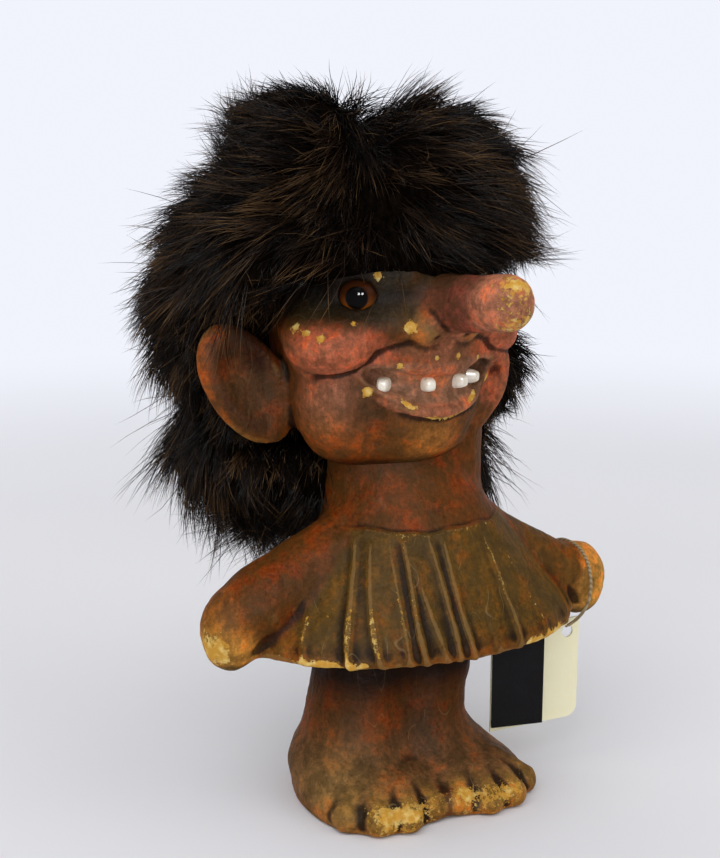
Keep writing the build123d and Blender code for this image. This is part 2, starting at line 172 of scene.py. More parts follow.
# Widths of the head's fillets and rounded edges
HEAD_FILLET = SimpleNamespace(
    muzzle=5.0, jaw=7.0, jowl=5.0, brow=5.0, chin=6.0, wedge=2.5, laugh=3.0, mouth=0.8, upper_lip=1.2,
    lower_lip=0.7, waist=2.0, nose=4.0, wing=2.2, nostril=1.2, lid=2.0, eye=0.3, ear_hollow=1.4, ear=2.6,
)

# Paint on the head: middle and half sizes of its regions, in the cheek's frame for the cheek
CHEEK_PAINT, CHEEK_PAINT_HALF = (0.0, -1.5, -3.4), (12.0, 13.0, 6.6)
JOWL_PAINT, JOWL_PAINT_HALF = (16.5, -9.0, -19.0), (9.0, 9.5, 9.0)
CHIN_PAINT, CHIN_PAINT_HALF = (0.0, -13.2, -22.6), (10.4, 9.4, 8.4)
# Middles of the dabs on the chin, over the upper lip and on the wing of the nose
CHIN_DAB, LIP_DAB, WING_DAB = (-2.0, -22.5, -24.0), (0.0, -25.0, -5.5), (6.8, -25.8, 1.0)
# Dabs on each jowl, with colour, place, width and share; the last, in the brow's colour, is painted shade in
# the valley from the mouth's corner down to the jaw
JOWL_DABS = (
    ("blush", (21.5, -13.0, -13.5), 7.0, 0.7),
    ("amber_rust", (21.0, -12.0, -19.5), 3.6, 0.3),
    ("brow", (15.5, -20.0, -17.0), 4.5, 0.6),
)
# Spots where the paint of the face is chipped, with their radii
FACE_CHIPS = (
    (29.3, -10.0, 1.4, 2.0),
    (26.8, -16.6, -0.6, 1.6),
    (28.6, -13.5, 0.8, 1.5),
    (10.2, -25.5, 1.4, 2.1),
    (10.9, -23.1, -7.0, 1.2),
    (3.0, -25.8, -5.6, 1.1),
    (16.4, -19.0, -12.6, 1.8),
    (20.5, -19.5, 2.2, 1.2),
    (14.6, -20.0, 12.2, 1.3),
)
# Paint on the body: places rubbed on the right foot and on the left hand, and way from a toe's tip to its own
FOOT_RUB, HAND_RUB, TOE_RUB = (-24.0, -8.0, 7.0), (50.8, -3.4, 44.8), np.array([0.0, -1.5, 1.5])
# How worn the toes of each foot are, and shares of bare rubber and of wear on each hand
TOE_WEAR = {RIGHT: (0.75, 1.0, 1.0, 0.45), LEFT: (0.95, 0.9, 0.8, 0.55)}
HAND_WEAR = {RIGHT: (0.5, 0.80), LEFT: (0.8, 0.62)}

# Masses of the fur in the head's frame: middle and half sizes
FUR_MASSES = (
    ((-5.0, 13.0, 2.0), (44.0, 44.0, 44.0)),
    ((-7.0, 19.0, -26.0), (35.0, 35.0, 31.0)),
    ((-18.5, 3.0, 35.0), (19.5, 19.5, 19.5)),
    ((8.0, -6.0, 24.5), (27.0, 27.0, 27.0)),
)
# Front edge of the hair: how far forward it comes at each height
HAIRLINE = np.array([
    (-90.0, -2.0), (-31.0, -2.0), (-26.0, 8.0), (-4.0, 9.0), (9.0, -5.0), (13.5, -24.0), (16.5, -90.0),
])
# How far the fringe dips over the root of the nose, where, and how wide
FRINGE_DIP, DIP_X, DIP_WIDTH = 3.6, 3.0, 10.0

# Locks of the undercoat over the left ear: middle and half sizes
SIDE_LOCKS = (((39.5, 5.0, -15.0), (6.5, 7.0, 12.0)), ((31.0, 9.0, -36.0), (7.0, 8.0, 12.0)))
# How much deeper the undercoat lies low down and behind the right ear, and how far back from the hairline
LOW_INSET, EAR_INSET, HAIRLINE_BACK = 3.0, 4.0, 1.5
# Width of the fillets between the fur's masses, and of the undercoat's edge at the hairline
FUR_FILLET, HAIRLINE_EDGE = 5.0, 7.0

# Number and length of the locks that hang from the temples over the ears, and bounds of the temples
WISPS, WISP_LENGTH = 14, 21.0
TEMPLE_X, TEMPLE_Y, TEMPLE_LOW, TEMPLE_HIGH = 23.0, 3.0, 5.0, 15.0
# Shares of golden hairs, of golden hairs in the wisps, and of hairs that stray from their lock
GOLDEN, GOLDEN_WISPS, STRAYS = 0.05, 0.35, 0.15
# Shares of the hairs over the face that stay, in the wisps and elsewhere
WISPS_KEPT, FRINGE_KEPT = 0.6, 0.03
# Spread of the locks: uprightness and length beside their guides', and how much shorter at the hairline
LOCK_STAND, LOCK_LENGTH, HAIRLINE_SHORTER = (0.45, 0.95), (0.75, 1.25), 0.35
# Shape of the spread of the locks' tones from dark to light, their greatest tone, and their bend
LOCK_TONES, LIGHTEST, LOCK_BEND = (1.3, 2.0), 0.98, 0.28
# Spread of the hairs of a lock: distance from its root, length and thickness beside its mean, and tone
HAIR_SPREAD, HAIR_LENGTH, HAIR_THICK, HAIR_TONE = (0.4, 1.9), (0.55, 1.12), (0.7, 1.15), 0.12
# How wild a hair and a stray one grow, and how far each draws in towards its lock
WILD, STRAY_WILD, TOGETHER, STRAY_TOGETHER = 0.10, 0.28, 0.75, 0.1
# Height and speed of a hair's wave, and how much its end hangs
WAVE, WAVE_TURN, HANG = 0.45, 4.5, 0.15
# Face that is kept clear: height of its edge at the brow, bound on the left, and room at hairline and temples
BROW_LINE, FACE_LEFT, FACE_ROOM, TEMPLE_ROOM = 12.5, 30.0, 2.0, 4.0
# How far the roots stay off the head and lie under the wool, and how deep a hair may run in the head
ROOT_CLEARANCE, ROOT_DEPTH, HAIR_DEPTH = 0.8, 1.0, 0.4
# Places along a hair, and its thickness at all but the last
HAIR_LEVELS, HAIR_TAPER = np.linspace(0.0, 1.0, 5), np.array([0.8, 1.0, 0.85, 0.55])
HAIR_SIDES = 3

# Corners of the lattices that the body, the head and the undercoat are meshed in
BODY_BOX = (-54.5, -29.5, -1.2), (54.5, 29.5, 106.0)
HEAD_BOX = (-50.0, -52.0, -34.0), (50.0, 28.0, 31.0)
FUR_BOX = (-60, -45, -68), (52, 68, 62)

# Unevenness of the hand-made surface: height and size of its lumps and of its grain
LUMP, LUMP_SIZE, GRAIN, GRAIN_SIZE = 0.06, 6.5, 0.025, 2.2
# Meshing: rounds that settle points on a surface, steps for the slope and for the normals, and least slope
SETTLE_ROUNDS, SLOPE_STEP, NORMAL_STEP, LEAST_SLOPE = 3, 0.04, 0.1, 0.05
# Relief: rounds of smoothing for the near and the far surroundings, and height of a clear ridge
RELIEF_NEAR, RELIEF_FAR, RIDGE = 10, 60, 0.12

# Added to the square of the distance to a guide of the fur, so that its weight stays even close by
GUIDE_BLUR = 40.0
# Guides of the fur: place, direction of its lie, how upright it stands and its length beside the mean
FUR_GUIDES = np.array([
    (-18, 3, 54, -0.3, 0.1, 1.0, 0.42, 0.62),
    (-32, 6, 42, -0.7, 0.3, 0.5, 0.45, 0.8),
    (-44, 18, 22, -0.6, 0.4, 0.2, 0.42, 0.9),
    (-48, 22, -2, -0.3, 0.5, -0.7, 0.55, 1.0),
    (-42, 28, -30, -0.8, 0.1, -0.7, 0.55, 1.5),
    (-16, 30, -54, -0.5, 0.0, -0.9, 0.35, 1.5),
    (-36, 8, -30, -0.2, 0.0, -1.0, 0.35, 1.1),
    (-6, -10, 46, 0.3, -0.9, 0.0, 0.50, 1.0),
    (14, -10, 50, 0.9, -0.3, 0.2, 0.45, 0.9),
    (-2, -31, 30, 0.9, -0.2, -0.3, 0.30, 1.3),
    (10, -33, 22, 0.9, 0.0, -0.5, 0.30, 1.2),
    (32, -14, 26, 0.5, 0.4, -0.8, 0.30, 0.9),
    (36, 6, 8, 0.3, 0.4, -0.9, 0.45, 1.1),
    (-24, -22, 22, -0.3, 0.3, -0.9, 0.35, 1.2),
    (-34, -4, 10, -0.1, 0.0, -1.0, 0.35, 1.4),
    (-30, -8, 34, -0.8, 0.5, 0.0, 0.45, 1.1),
    (44, 4, -14, 0.5, 0.0, -0.9, 0.70, 1.0),
    (36, 6, -38, 0.3, 0.0, -1.0, 0.55, 1.2),
    (30, 30, -34, 0.2, 0.2, -1.0, 0.45, 1.2),
    (-5, 57, 5, 0.0, 0.2, -1.0, 0.50, 1.0),
    (-7, 53, -28, 0.0, 0.1, -1.0, 0.45, 1.2),
    (-5, 36, 40, 0.0, 1.0, 0.0, 0.55, 1.0),
], float)

# Thread loop round the left hand, from the hole of the tag and back to it
THREAD_X, THREAD_DIAMETER = 43.3, 0.8
THREAD_ROUTE = (
    (0.0, 34.7), (5.6, 38.6), (10.0, 45.2), (9.4, 52.6), (4.8, 57.0),
    (-4.8, 57.0), (-9.4, 52.6), (-10.0, 45.2), (-5.6, 38.8), (-0.7, 35.3),
)

# Colours of the small pieces
PUPIL, IRIS_RIM = (0.004, 0.003, 0.003), (0.010, 0.006, 0.004)
ENAMEL, ENAMEL_STAIN, ENAMEL_ROOT = (0.90, 0.84, 0.72), (0.74, 0.63, 0.47), (0.22, 0.14, 0.09)
# Hair roots: partly their own dark, partly painted shade deep in the fur
HAIR_ROOT_SHADE, WOOL_DARK, WOOL = (0.003, 0.002, 0.0015), (0.002, 0.0015, 0.001), (0.010, 0.006, 0.004)
CREAM, CREAM_FIBRE = (0.98, 0.93, 0.66), (0.94, 0.87, 0.57)
BLACK, BLACK_FIBRE = (0.004, 0.003, 0.004), (0.010, 0.009, 0.010)
COTTON_DARK, COTTON = (0.22, 0.15, 0.07), (0.42, 0.32, 0.17)
CORK, CORK_DARK = (0.42, 0.26, 0.14), (0.26, 0.15, 0.08)
STEEL, STEEL_DARK = (0.55, 0.55, 0.56), (0.40, 0.40, 0.42)
# Tint of the warm mottling
WARM = (1.6, 0.95, 0.5)

# Lamps: name, place, size and the setting that holds their power; and the point that they face
LAMPS = (
    ("key_lamp", (-0.45, -0.35, 0.85), 0.70, "key"),
    ("fill_lamp", (0.45, -0.60, 0.70), 0.60, "fill"),
    ("left_glint", (-0.36, -0.55, 0.30), 0.11, "glint"),
    ("right_glint", (-0.18, -0.63, 0.30), 0.11, "glint"),
)
LAMP_AIM = Vector((0.0, 0.0, 0.09))
# Floor: radius of its first and last ring, height, and where it starts and ends to turn into the background
FLOOR_INNER, FLOOR_OUTER, FLOOR_Z, FADE_START, FADE_END = 0.001, 6.0, -0.0002, 0.22, 0.75
# Painted shade of soft folds in the floor cloth
FLOOR_FOLD_SHADE = (0.70, 0.70, 0.75)


# Helpers for numbers and places


def ease(value, low, high):
    """0 below low and 1 above high, with a smooth rise between; low may be the larger one."""
    t = np.clip((value - low) / (high - low), 0.0, 1.0)
    return t * t * (3.0 - 2.0 * t)


def bump(distance, width):
    """A bell of height 1 and that width."""
    return np.exp(-((distance / width) ** 2))


def dab(points, place, width):
    """A bell about a place."""
    return bump(np.linalg.norm(points - np.array(place), axis=1), width)


def unit(vectors):
    """Vectors brought to length 1."""
    return vectors / np.linalg.norm(vectors, axis=-1, keepdims=True)


def to_world(points):
    """Points of the head's frame, turned about the upright by its yaw and moved to its middle."""
    c, s = cos(HEAD_YAW), sin(HEAD_YAW)
    turned = points @ np.array([[c, s, 0.0], [-s, c, 0.0], [0.0, 0.0, 1.0]])
    return turned + HEAD_MIDDLE


def track(z, table, column):
    """A column of a table of levels at heights z: cubic pieces with the mean slope at each level."""
    heights, values = table[:, 0], table[:, column]
    slopes = np.gradient(values, heights)
    k = np.clip(np.searchsorted(heights, z) - 1, 0, len(heights) - 2)
    gap = heights[k + 1] - heights[k]
    t = np.clip((z - heights[k]) / gap, 0.0, 1.0)
    a, b = (1 + 2 * t) * (1 - t) ** 2, t * t * (3 - 2 * t)
    c, d = t * (1 - t) ** 2 * gap, t * t * (t - 1) * gap
    return (a * values[k] + b * values[k + 1] + c * slopes[k] + d * slopes[k + 1]).astype(np.float32)


# Plain forms as fields: the distance to a surface in millimetres, negative inside


def joined(a, b, k):
    """Union of two fields with a fillet k wide: the lesser one, less a parabola where they are close."""
    h = np.maximum(k - np.abs(a - b), 0.0) / k
    return np.minimum(a, b) - h * h * k * 0.25


def met(a, b, k):
    """What is inside both fields, with an edge rounded over k."""
    return -joined(-a, -b, k)


def carved(a, b, k):
    """Field a less what is inside b, with an edge rounded over k."""
    return -joined(-a, b, k)


def ball(x, y, z, middle, radius):
    """Distance to a middle, less a radius."""
    return np.sqrt((x - middle[0]) ** 2 + (y - middle[1]) ** 2 + (z - middle[2]) ** 2) - radius


def egg(x, y, z, middle, half):
    """Ellipsoid: k0 (k0 - 1) / k1, with k0 the length in half sizes and k1 the same with their squares."""
    u, v, w = x - middle[0], y - middle[1], z - middle[2]
    k0 = np.sqrt((u / half[0]) ** 2 + (v / half[1]) ** 2 + (w / half[2]) ** 2) + 1e-6
    k1 = np.sqrt((u / half[0] ** 2) ** 2 + (v / half[1] ** 2) ** 2 + (w / half[2] ** 2) ** 2) + 1e-6
    return k0 * (k0 - 1.0) / k1


def rod(x, y, z, start, end, first, last):
    """Distance to a line between two points, less a radius that goes from first to last along it."""
    a, b = np.array(start, np.float32), np.array(end, np.float32)
    way = b - a
    h = ((x - a[0]) * way[0] + (y - a[1]) * way[1] + (z - a[2]) * way[2]) / float(way @ way)
    h = np.clip(h, 0.0, 1.0)
    gap = (x - a[0] - h * way[0]) ** 2 + (y - a[1] - h * way[1]) ** 2 + (z - a[2] - h * way[2]) ** 2
    return np.sqrt(gap) - (first + (last - first) * h)


def column(x, y, z, table, shift=0.0):
    """Upright form through ellipses: the flat ellipse's distance at each height. It runs on at both ends."""
    middle_x, middle_y, half_w, half_d = (track(z, table, c) for c in (1, 2, 3, 4))
    u, v = x - middle_x - shift, y - middle_y
    k0 = np.sqrt((u / half_w) ** 2 + (v / half_d) ** 2) + 1e-6
    k1 = np.sqrt((u / half_w**2) ** 2 + (v / half_d**2) ** 2) + 1e-6
    return k0 * (k0 - 1.0) / k1


# Forms of the body


def pleats(u, v, z):
    """How far the cloth of the dress stands out: a bell for each ridge, with a shallower groove beside it."""
    s = (DRESS_TOP - z) / (DRESS_TOP - HEM)
    angle, radius = np.arctan2(u, -v), np.hypot(u, v)
    height = np.zeros_like(radius)
    for number, (top, hem) in enumerate(PLEATS):
        phase = PLEAT_PHASE * number
        off = angle - np.radians(top + (hem - top) * s + PLEAT_WANDER * np.sin(3.0 * s + phase))
        off = (np.mod(off + np.pi, 2 * np.pi) - np.pi) * radius
        tall = (PLEAT_HEIGHT + PLEAT_VARIES * sin(phase)) * (PLEAT_LOOSE if 10 < hem < 90 else 1.0)
        height += tall * bump(off, PLEAT_WIDTH + PLEAT_FLARE * s)
        beside = off + GROOVE_PLACE + GROOVE_SHIFT * s
        height -= GROOVE_SHARE * tall * bump(beside, GROOVE_WIDTH + GROOVE_FLARE * s)
    edge = DRESS_TOP + 0.35 * np.sin(5.0 * angle) + 0.2 * np.sin(13.0 * angle + 1.0)
    cloth = CLOTH * ease(z, edge + 0.35, edge - 0.35)
    return cloth + height * (0.3 + 0.75 * np.clip(s, 0.0, 1.0)) * ease(s, 0.0, 0.12)


def torso_field(x, y, z):
    """Dress with its pleats, chest and neck, closed flat under the hem."""
    d = column(x, y, z, TORSO)
    x, y, z = (np.broadcast_to(a, d.shape) for a in (x, y, z))
    close = (np.abs(d) < 4.0) & (z > HEM - 4.0) & (z < DRESS_TOP + 2.0)
    height = z[close]
    u, v = x[close] - track(height, TORSO, 1), y[close] - track(height, TORSO, 2)
    d[close] -= pleats(u, v, np.maximum(height, HEM))
    return met(d, HEM - z, BODY_FILLET.hem)


def toe_tip(side, angle):
    """Middle of a toe's end, a little inside the edge of the sole."""
    turn = radians(angle)
    out = FOOT_OUT + TOE_SPREAD * sin(turn)
    return np.array([SOLE_X + side * out, SOLE_Y - TOE_REACH * cos(turn), TOE_LIFT])


def leg_field(x, y, z):
    """Two legs with big feet, joined in a groove between them; each foot has a broad instep and four blunt
    toes. The legs run on up through the chest and fill out the neck."""
    legs = None
    for side in SIDES.values():
        leg = column(x, y, z, LEG, side * track(z, LEG, 5))
        leg = joined(leg, egg(side * x, y, z, INSTEP, INSTEP_HALF), BODY_FILLET.instep)
        for angle in TOE_ANGLES:
            tip = toe_tip(side, angle)
            back = np.array(SHIN) * (side, 1, 1) - tip
            back *= TOE_LENGTH / np.linalg.norm(back)
            leg = joined(leg, rod(x, y, z, tip, tip + back, TOE_TIP, TOE_BACK), BODY_FILLET.toe)
        legs = leg if legs is None else joined(legs, leg, BODY_FILLET.groove)
    return legs


def body_field(x, y, z):
    """Legs, dress, chest, arms and hands in one form with a pour hole, flat under the soles and rounded off
    inside the head."""
    d = torso_field(x, y, z)
    d = joined(d, rod(x, y, z, *NECK), BODY_FILLET.neck)
    for side in SIDES.values():
        arm = rod(x, y, z, *ARMS[side])
        arm = joined(arm, egg(side * x, y, z, HAND, HAND_HALF), BODY_FILLET.arm)
        d = joined(d, arm, BODY_FILLET.arm)
    d = joined(d, leg_field(x, y, z), BODY_FILLET.legs)
    d = met(d, -z, BODY_FILLET.sole)
    d = met(d, z - NECK_TOP, BODY_FILLET.neck_top)
    pour = np.maximum(np.hypot(x - POUR_X, y - POUR_Y) - POUR_RADIUS, z - POUR_DEPTH)
    return carved(d, pour, BODY_FILLET.pour)


# Forms of the head and of the fur, in the head's frame


def lip_ring(x, y, z, middle, corner, half_arc, thick, thin, reach):
    """Roll along the mouth: about the muzzle's upright axis, its height goes from middle to corner and its
    thickness from thick to thin with the square of the angle."""
    angle = np.arctan2(x, -(y - MUZZLE[1]))
    t = np.clip(np.abs(angle) / radians(half_arc), 0.0, 1.0)
    height = middle + (corner - middle) * t * t
    radius = np.sqrt(np.maximum(MUZZLE_RADIUS**2 - (height - MUZZLE[2]) ** 2, 1.0)) + reach
    past = np.maximum(np.abs(angle) - radians(half_arc), 0.0) * MUZZLE_RADIUS
    gap = np.sqrt((np.hypot(x, y - MUZZLE[1]) - radius) ** 2 + (z - height) ** 2 + past * past)
    return gap - (thick + (thin - thick) * t * t)


def mouth_band(x, y, z):
    """Shallow band between the lips: a flat roll that is cut into the muzzle."""
    angle = np.arctan2(x, -(y - MUZZLE[1]))
    t = np.clip(np.abs(angle) / radians(MOUTH_ARC), 0.0, 1.0)
    height = MOUTH_Z + MOUTH_RISE * t * t
    past = np.maximum(np.abs(angle) - radians(MOUTH_END), 0.0) * MUZZLE_RADIUS
    deep = (np.hypot(x, y - MUZZLE[1]) - MUZZLE_RADIUS - MOUTH_OUT) / MOUTH_DEEP
    tall = (z - height) / (MOUTH_TALL - MOUTH_TAPER * t * t)
    return (np.sqrt(deep**2 + tall**2 + (past / MOUTH_FADE) ** 2) - 1.0) * MOUTH_MEAN


def turned(x, y, middle, angle):
    """Flat coordinates about a middle, along an azimuth (outwards) and across it (towards the left)."""
    u, v = x - middle[0], y - middle[1]
    out = u * sin(angle) - v * cos(angle)
    return out, u * cos(angle) + v * sin(angle)


def eye_middle(side):
    """Middle of an eye on the head and the direction of its gaze."""
    turn = radians(EYE_AZIMUTH)
    gaze = np.array([side * sin(turn), -cos(turn), 0.0])
    return gaze * EYE_REACH + np.array([0.0, 0.0, EYE_RISE]), gaze


def ear_frame(x, y, z):
    """Coordinates of the left ear: across it, towards its front, and along its leaning length."""
    u, v, w = x - EAR_MIDDLE[0], y - EAR_MIDDLE[1], z - EAR_MIDDLE[2]
    turn, lean = radians(EAR_TURN), radians(EAR_LEAN)
    across = u * cos(turn) + v * sin(turn)
    front = -u * sin(turn) + v * cos(turn)
    return across * cos(lean) - w * sin(lean), front, across * sin(lean) + w * cos(lean)


def eyelid(x, y, z):
    """Ring round the left eye, thicker above it."""
    middle, gaze = eye_middle(LEFT)
    u, v, w = x - middle[0], y - middle[1], z - middle[2]
    ahead = u * gaze[0] + v * gaze[1]
    beside = np.sqrt(np.maximum(u**2 + v**2 + w**2 - ahead**2, 0.0))
    thick = LID_THICK + LID_ABOVE * ease(z, middle[2], middle[2] + 4.0)
    return np.hypot(ahead - LID_AHEAD, beside - LID_RADIUS) - thick


def head_field(x, y, z):
    """Skull, muzzle, jowls and chin run into each other; cheeks, lips, nose, eyelids and ears are laid on
    them. For the right one of a pair, x is mirrored."""
    fillet = HEAD_FILLET
    d = egg(x, y, z, (0, 0, 0), SKULL_HALF)
    d = joined(d, ball(x, y, z, MUZZLE, MUZZLE_RADIUS), fillet.muzzle)
    for side in SIDES.values():
        left = side * x
        d = joined(d, ball(left, y, z, JAW, JAW_RADIUS), fillet.jaw)
        d = joined(d, egg(left, y, z, JOWL, JOWL_HALF), fillet.jowl)
        if side == LEFT:
            d = joined(d, egg(left, y, z, LEFT_JOWL, LEFT_JOWL_HALF), fillet.jowl)
        d = joined(d, rod(left, y, z, *BROW), fillet.brow)
    d = joined(d, egg(x, y, z, CHIN, CHIN_HALF), fillet.chin)
    for side in SIDES.values():
        left = side * x
        out, across = turned(left, y, CHEEK_PLACE, radians(CHEEK_AZIMUTH))
        cheek = joined(egg(out, across, z, CHEEK, CHEEK_HALF), rod(left, y, z, *CHEEK_WEDGE), fillet.wedge)
        d = joined(d, cheek, FOLD + FOLD_ABOVE * ease(z, -5.0, 1.0) + FOLD_BESIDE * ease(across, 0.0, 8.0))
        for start, end in zip(LAUGH_LINE, LAUGH_LINE[1:]):
            d = carved(d, rod(left, y, z, start, end, LAUGH_RADIUS, LAUGH_RADIUS), fillet.laugh)
    d = carved(d, mouth_band(x, y, z), fillet.mouth)
    d = joined(d, lip_ring(x, y, z, *UPPER_LIP), fillet.upper_lip)
    d = joined(d, lip_ring(x, y, z, *LOWER_LIP), fillet.lower_lip)
    bridge = rod(x, y, z, NOSE_ROOT, NOSE_WAIST, ROOT_RADIUS, WAIST_RADIUS)
    tip = rod(x, y, z, NOSE_WAIST, NOSE_TIP, WAIST_RADIUS, TIP_RADIUS)
    d = joined(d, joined(bridge, tip, fillet.waist), fillet.nose)
    for side in SIDES.values():
        left = side * x
        d = joined(d, egg(left, y, z, WING, WING_HALF), fillet.wing)
        d = carved(d, ball(left, y, z, NOSTRIL, NOSTRIL_RADIUS), fillet.nostril)
        d = joined(d, eyelid(left, y, z), fillet.lid)
        d = carved(d, ball(left, y, z, eye_middle(LEFT)[0], EYE_RADIUS + EYE_GAP), fillet.eye)
        ear = ear_frame(left, y, z)
        hollow = egg(*ear, EAR_HOLLOW, EAR_HOLLOW_HALF)
        flap = carved(egg(*ear, (0, 0, 0), EAR_HALF), hollow, fillet.ear_hollow)
        d = joined(d, flap, fillet.ear)
    return d


def fur_union(x, y, z, inset):
    """The fur's masses, each smaller all round by an inset, run into each other."""
    d = None
    for middle, half in FUR_MASSES:
        mass = egg(x, y, z, middle, [h - inset for h in half])
        d = mass if d is None else joined(d, mass, FUR_FILLET)
    return d


def hair_front(x, z):
    """How far forward the hair comes: the hairline, lower by a bell over the root of the nose."""
    return np.interp(z + FRINGE_DIP * bump(x - DIP_X, DIP_WIDTH), HAIRLINE[:, 0], HAIRLINE[:, 1])


def undercoat_field(x, y, z):
    """Inside of the fur: the masses inset under the strands and cut off at the hairline, with the hair that
    hangs over the left ear."""
    inset = bpy.context.scene.troll_fur.inset / MM
    behind_ear = bump(z + 19.0, 7.0) * ease(x, -22.0, -40.0)
    inset = inset + LOW_INSET * ease(z, -24.0, -40.0) + EAR_INSET * behind_ear
    d = met(fur_union(x, y, z, inset), hair_front(x, z) + HAIRLINE_BACK - y, HAIRLINE_EDGE)
    for middle, half in SIDE_LOCKS:
        d = joined(d, egg(x, y, z, middle, half), FUR_FILLET)
    return d


# Meshes from fields and grids


def surface_of(field, low, high, step):
    """Surface where a field is zero. Each cell of a lattice whose corners differ in sign gets one point, the
    mean of the places where its edges cross zero; each lattice edge that crosses zero gets a face between its
    four cells; and the points then move along the field's slope onto zero. Returns points, faces of four and
    normals."""
    axes = [np.arange(a, b + step, step, dtype=np.float32) for a, b in zip(low, high)]
    value = field(axes[0][:, None, None], axes[1][None, :, None], axes[2][None, None, :]).astype(np.float32)
    inside = value < 0
    size = np.array(value.shape)
    count = sum(
        inside[i:size[0] - 1 + i, j:size[1] - 1 + j, k:size[2] - 1 + k].astype(np.int8)
        for i, j, k in product((0, 1), repeat=3)
    )
    cells = np.argwhere((count > 0) & (count < 8))
    number = np.full(size - 1, -1, np.int32)
    number[tuple(cells.T)] = np.arange(len(cells))
    total, crossings = np.zeros((len(cells), 3)), np.zeros(len(cells))
    for axis in range(3):
        for offset in product((0, 1), repeat=2):
            start = np.insert(np.array(offset), axis, 0)
            end = np.insert(np.array(offset), axis, 1)
            a, b = value[tuple((cells + start).T)], value[tuple((cells + end).T)]
            cross = (a < 0) != (b < 0)
            t = np.where(cross, a / np.where(cross, a - b, 1.0), 0.0)
            place = np.tile(start.astype(float), (len(cells), 1))
            place[:, axis] = t
            total += place * cross[:, None]
            crossings += cross
    points = np.array([a[0] for a in axes]) + step * (cells + total / crossings[:, None])
    faces = []
    for axis in range(3):
        b, c = (axis + 1) % 3, (axis + 2) % 3
        first, second = [slice(None)] * 3, [slice(None)] * 3
        first[axis], second[axis] = slice(0, -1), slice(1, None)
        change = inside[tuple(first)] != inside[tuple(second)]
        edges = np.argwhere(change)
        within = (edges[:, b] > 0) & (edges[:, c] > 0)
        within &= (edges[:, b] < size[b] - 1) & (edges[:, c] < size[c] - 1)
        edges = edges[within]
        quad = []
        for db, dc in ((-1, -1), (0, -1), (0, 0), (-1, 0)):
            cell = edges.copy()
            cell[:, b] += db
            cell[:, c] += dc
            quad.append(number[tuple(cell.T)])
        quad = np.stack(quad, 1)
        outward = inside[tuple(edges.T)]
        faces.append(np.where(outward[:, None], quad, quad[:, ::-1]))
    faces = np.concatenate(faces)
    for _ in range(SETTLE_ROUNDS):
        near, slope = slope_of(field, points, SLOPE_STEP)
        move = near[:, None] * slope / np.maximum((slope**2).sum(1), LEAST_SLOPE)[:, None]
        points -= np.clip(move, -0.5 * step, 0.5 * step)
    slope = slope_of(field, points, NORMAL_STEP)[1]
    return points, faces, slope / np.maximum(np.linalg.norm(slope, axis=1), 1e-6)[:, None]


def slope_of(field, points, h):
    """A field's value at points and its slope, from differences over a step h to either side."""
    p = points.astype(np.float32)
    near = field(p[:, 0], p[:, 1], p[:, 2])
    slope = np.empty((len(p), 3))
    for axis in range(3):
        q, r = p.copy(), p.copy()
        q[:, axis] += h
        r[:, axis] -= h
        slope[:, axis] = (field(q[:, 0], q[:, 1], q[:, 2]) - field(r[:, 0], r[:, 1], r[:, 2])) / (2 * h)
    return near, slope


def smoothed(values, faces, rounds):
    """Values of points, each replaced by the mean of its neighbours' for a number of rounds."""
    start, end = faces.ravel(), np.roll(faces, -1, axis=1).ravel()
    a, b = np.concatenate([start, end]), np.concatenate([end, start])
    degree = np.maximum(np.bincount(a, minlength=len(values)), 1)
    columns = values.reshape(len(values), -1)
    for _ in range(rounds):
        columns = np.stack([np.bincount(a, c[b], len(values)) / degree for c in columns.T], 1)
    return columns.reshape(values.shape)


def relief_of(points, faces, normals):
    """How far each point stands out of its smoothed surroundings, beside what a broad round form has
    everywhere; 1 is a clear ridge and -1 a clear groove."""
    proud = ((points - smoothed(points, faces, RELIEF_NEAR)) * normals).sum(1)
    proud -= smoothed(proud, faces, RELIEF_FAR)
    return np.clip(proud / RIDGE, -2.0, 2.0)


def lumps(points, size, seed):
    """Random lumps of mean square 1: many cosine waves in random directions, with lengths near a size."""
    rng = np.random.default_rng(seed)
    waves = 36
    way = rng.normal(0, 1.0, (waves, 3))
    way *= (2 * np.pi / size * rng.uniform(0.7, 1.3, waves) / np.linalg.norm(way, axis=1))[:, None]
    phase = rng.uniform(0, 2 * np.pi, waves)
    return np.cos(points @ way.T + phase).sum(1) * (2 / waves) ** 0.5


def new_mesh(name, points, faces):
    """A mesh from arrays: points in metres and faces with the same number of corners each."""
    mesh = bpy.data.meshes.new(name)
    corners = faces.shape[1]
    mesh.vertices.add(len(points))
    mesh.vertices.foreach_set("co", np.ascontiguousarray(points, np.float32).ravel())
    mesh.loops.add(faces.size)
    mesh.loops.foreach_set("vertex_index", np.ascontiguousarray(faces, np.int32).ravel())
    mesh.polygons.add(len(faces))
    mesh.polygons.foreach_set("loop_start", np.arange(0, faces.size, corners, dtype=np.int32))
    mesh.polygons.foreach_set("use_smooth", np.ones(len(faces), bool))
    mesh.update(calc_edges=True)
    return mesh


def give(mesh, name, values):
    """Stores a number or a colour for each point of a mesh, for its material to read."""
    if values.ndim == 1:
        layer = mesh.attributes.new(name, "FLOAT", "POINT")
        layer.data.foreach_set("value", values.astype(np.float32))
    else:
        layer = mesh.attributes.new(name, "FLOAT_COLOR", "POINT")
        rgba = np.c_[values, np.ones(len(values))]
        layer.data.foreach_set("color", rgba.astype(np.float32).ravel())


def new_piece(name, mesh, body, material, replaced=()):
    """Puts a mesh or curve in the scene as a piece that rides on a body and stands for some nodes."""
    piece = bpy.data.objects.new(name, mesh)
    bpy.context.scene.collection.objects.link(piece)
    mesh.materials.append(material)
    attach(piece, body)
    if replaced:
        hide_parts(*replaced)
    return piece


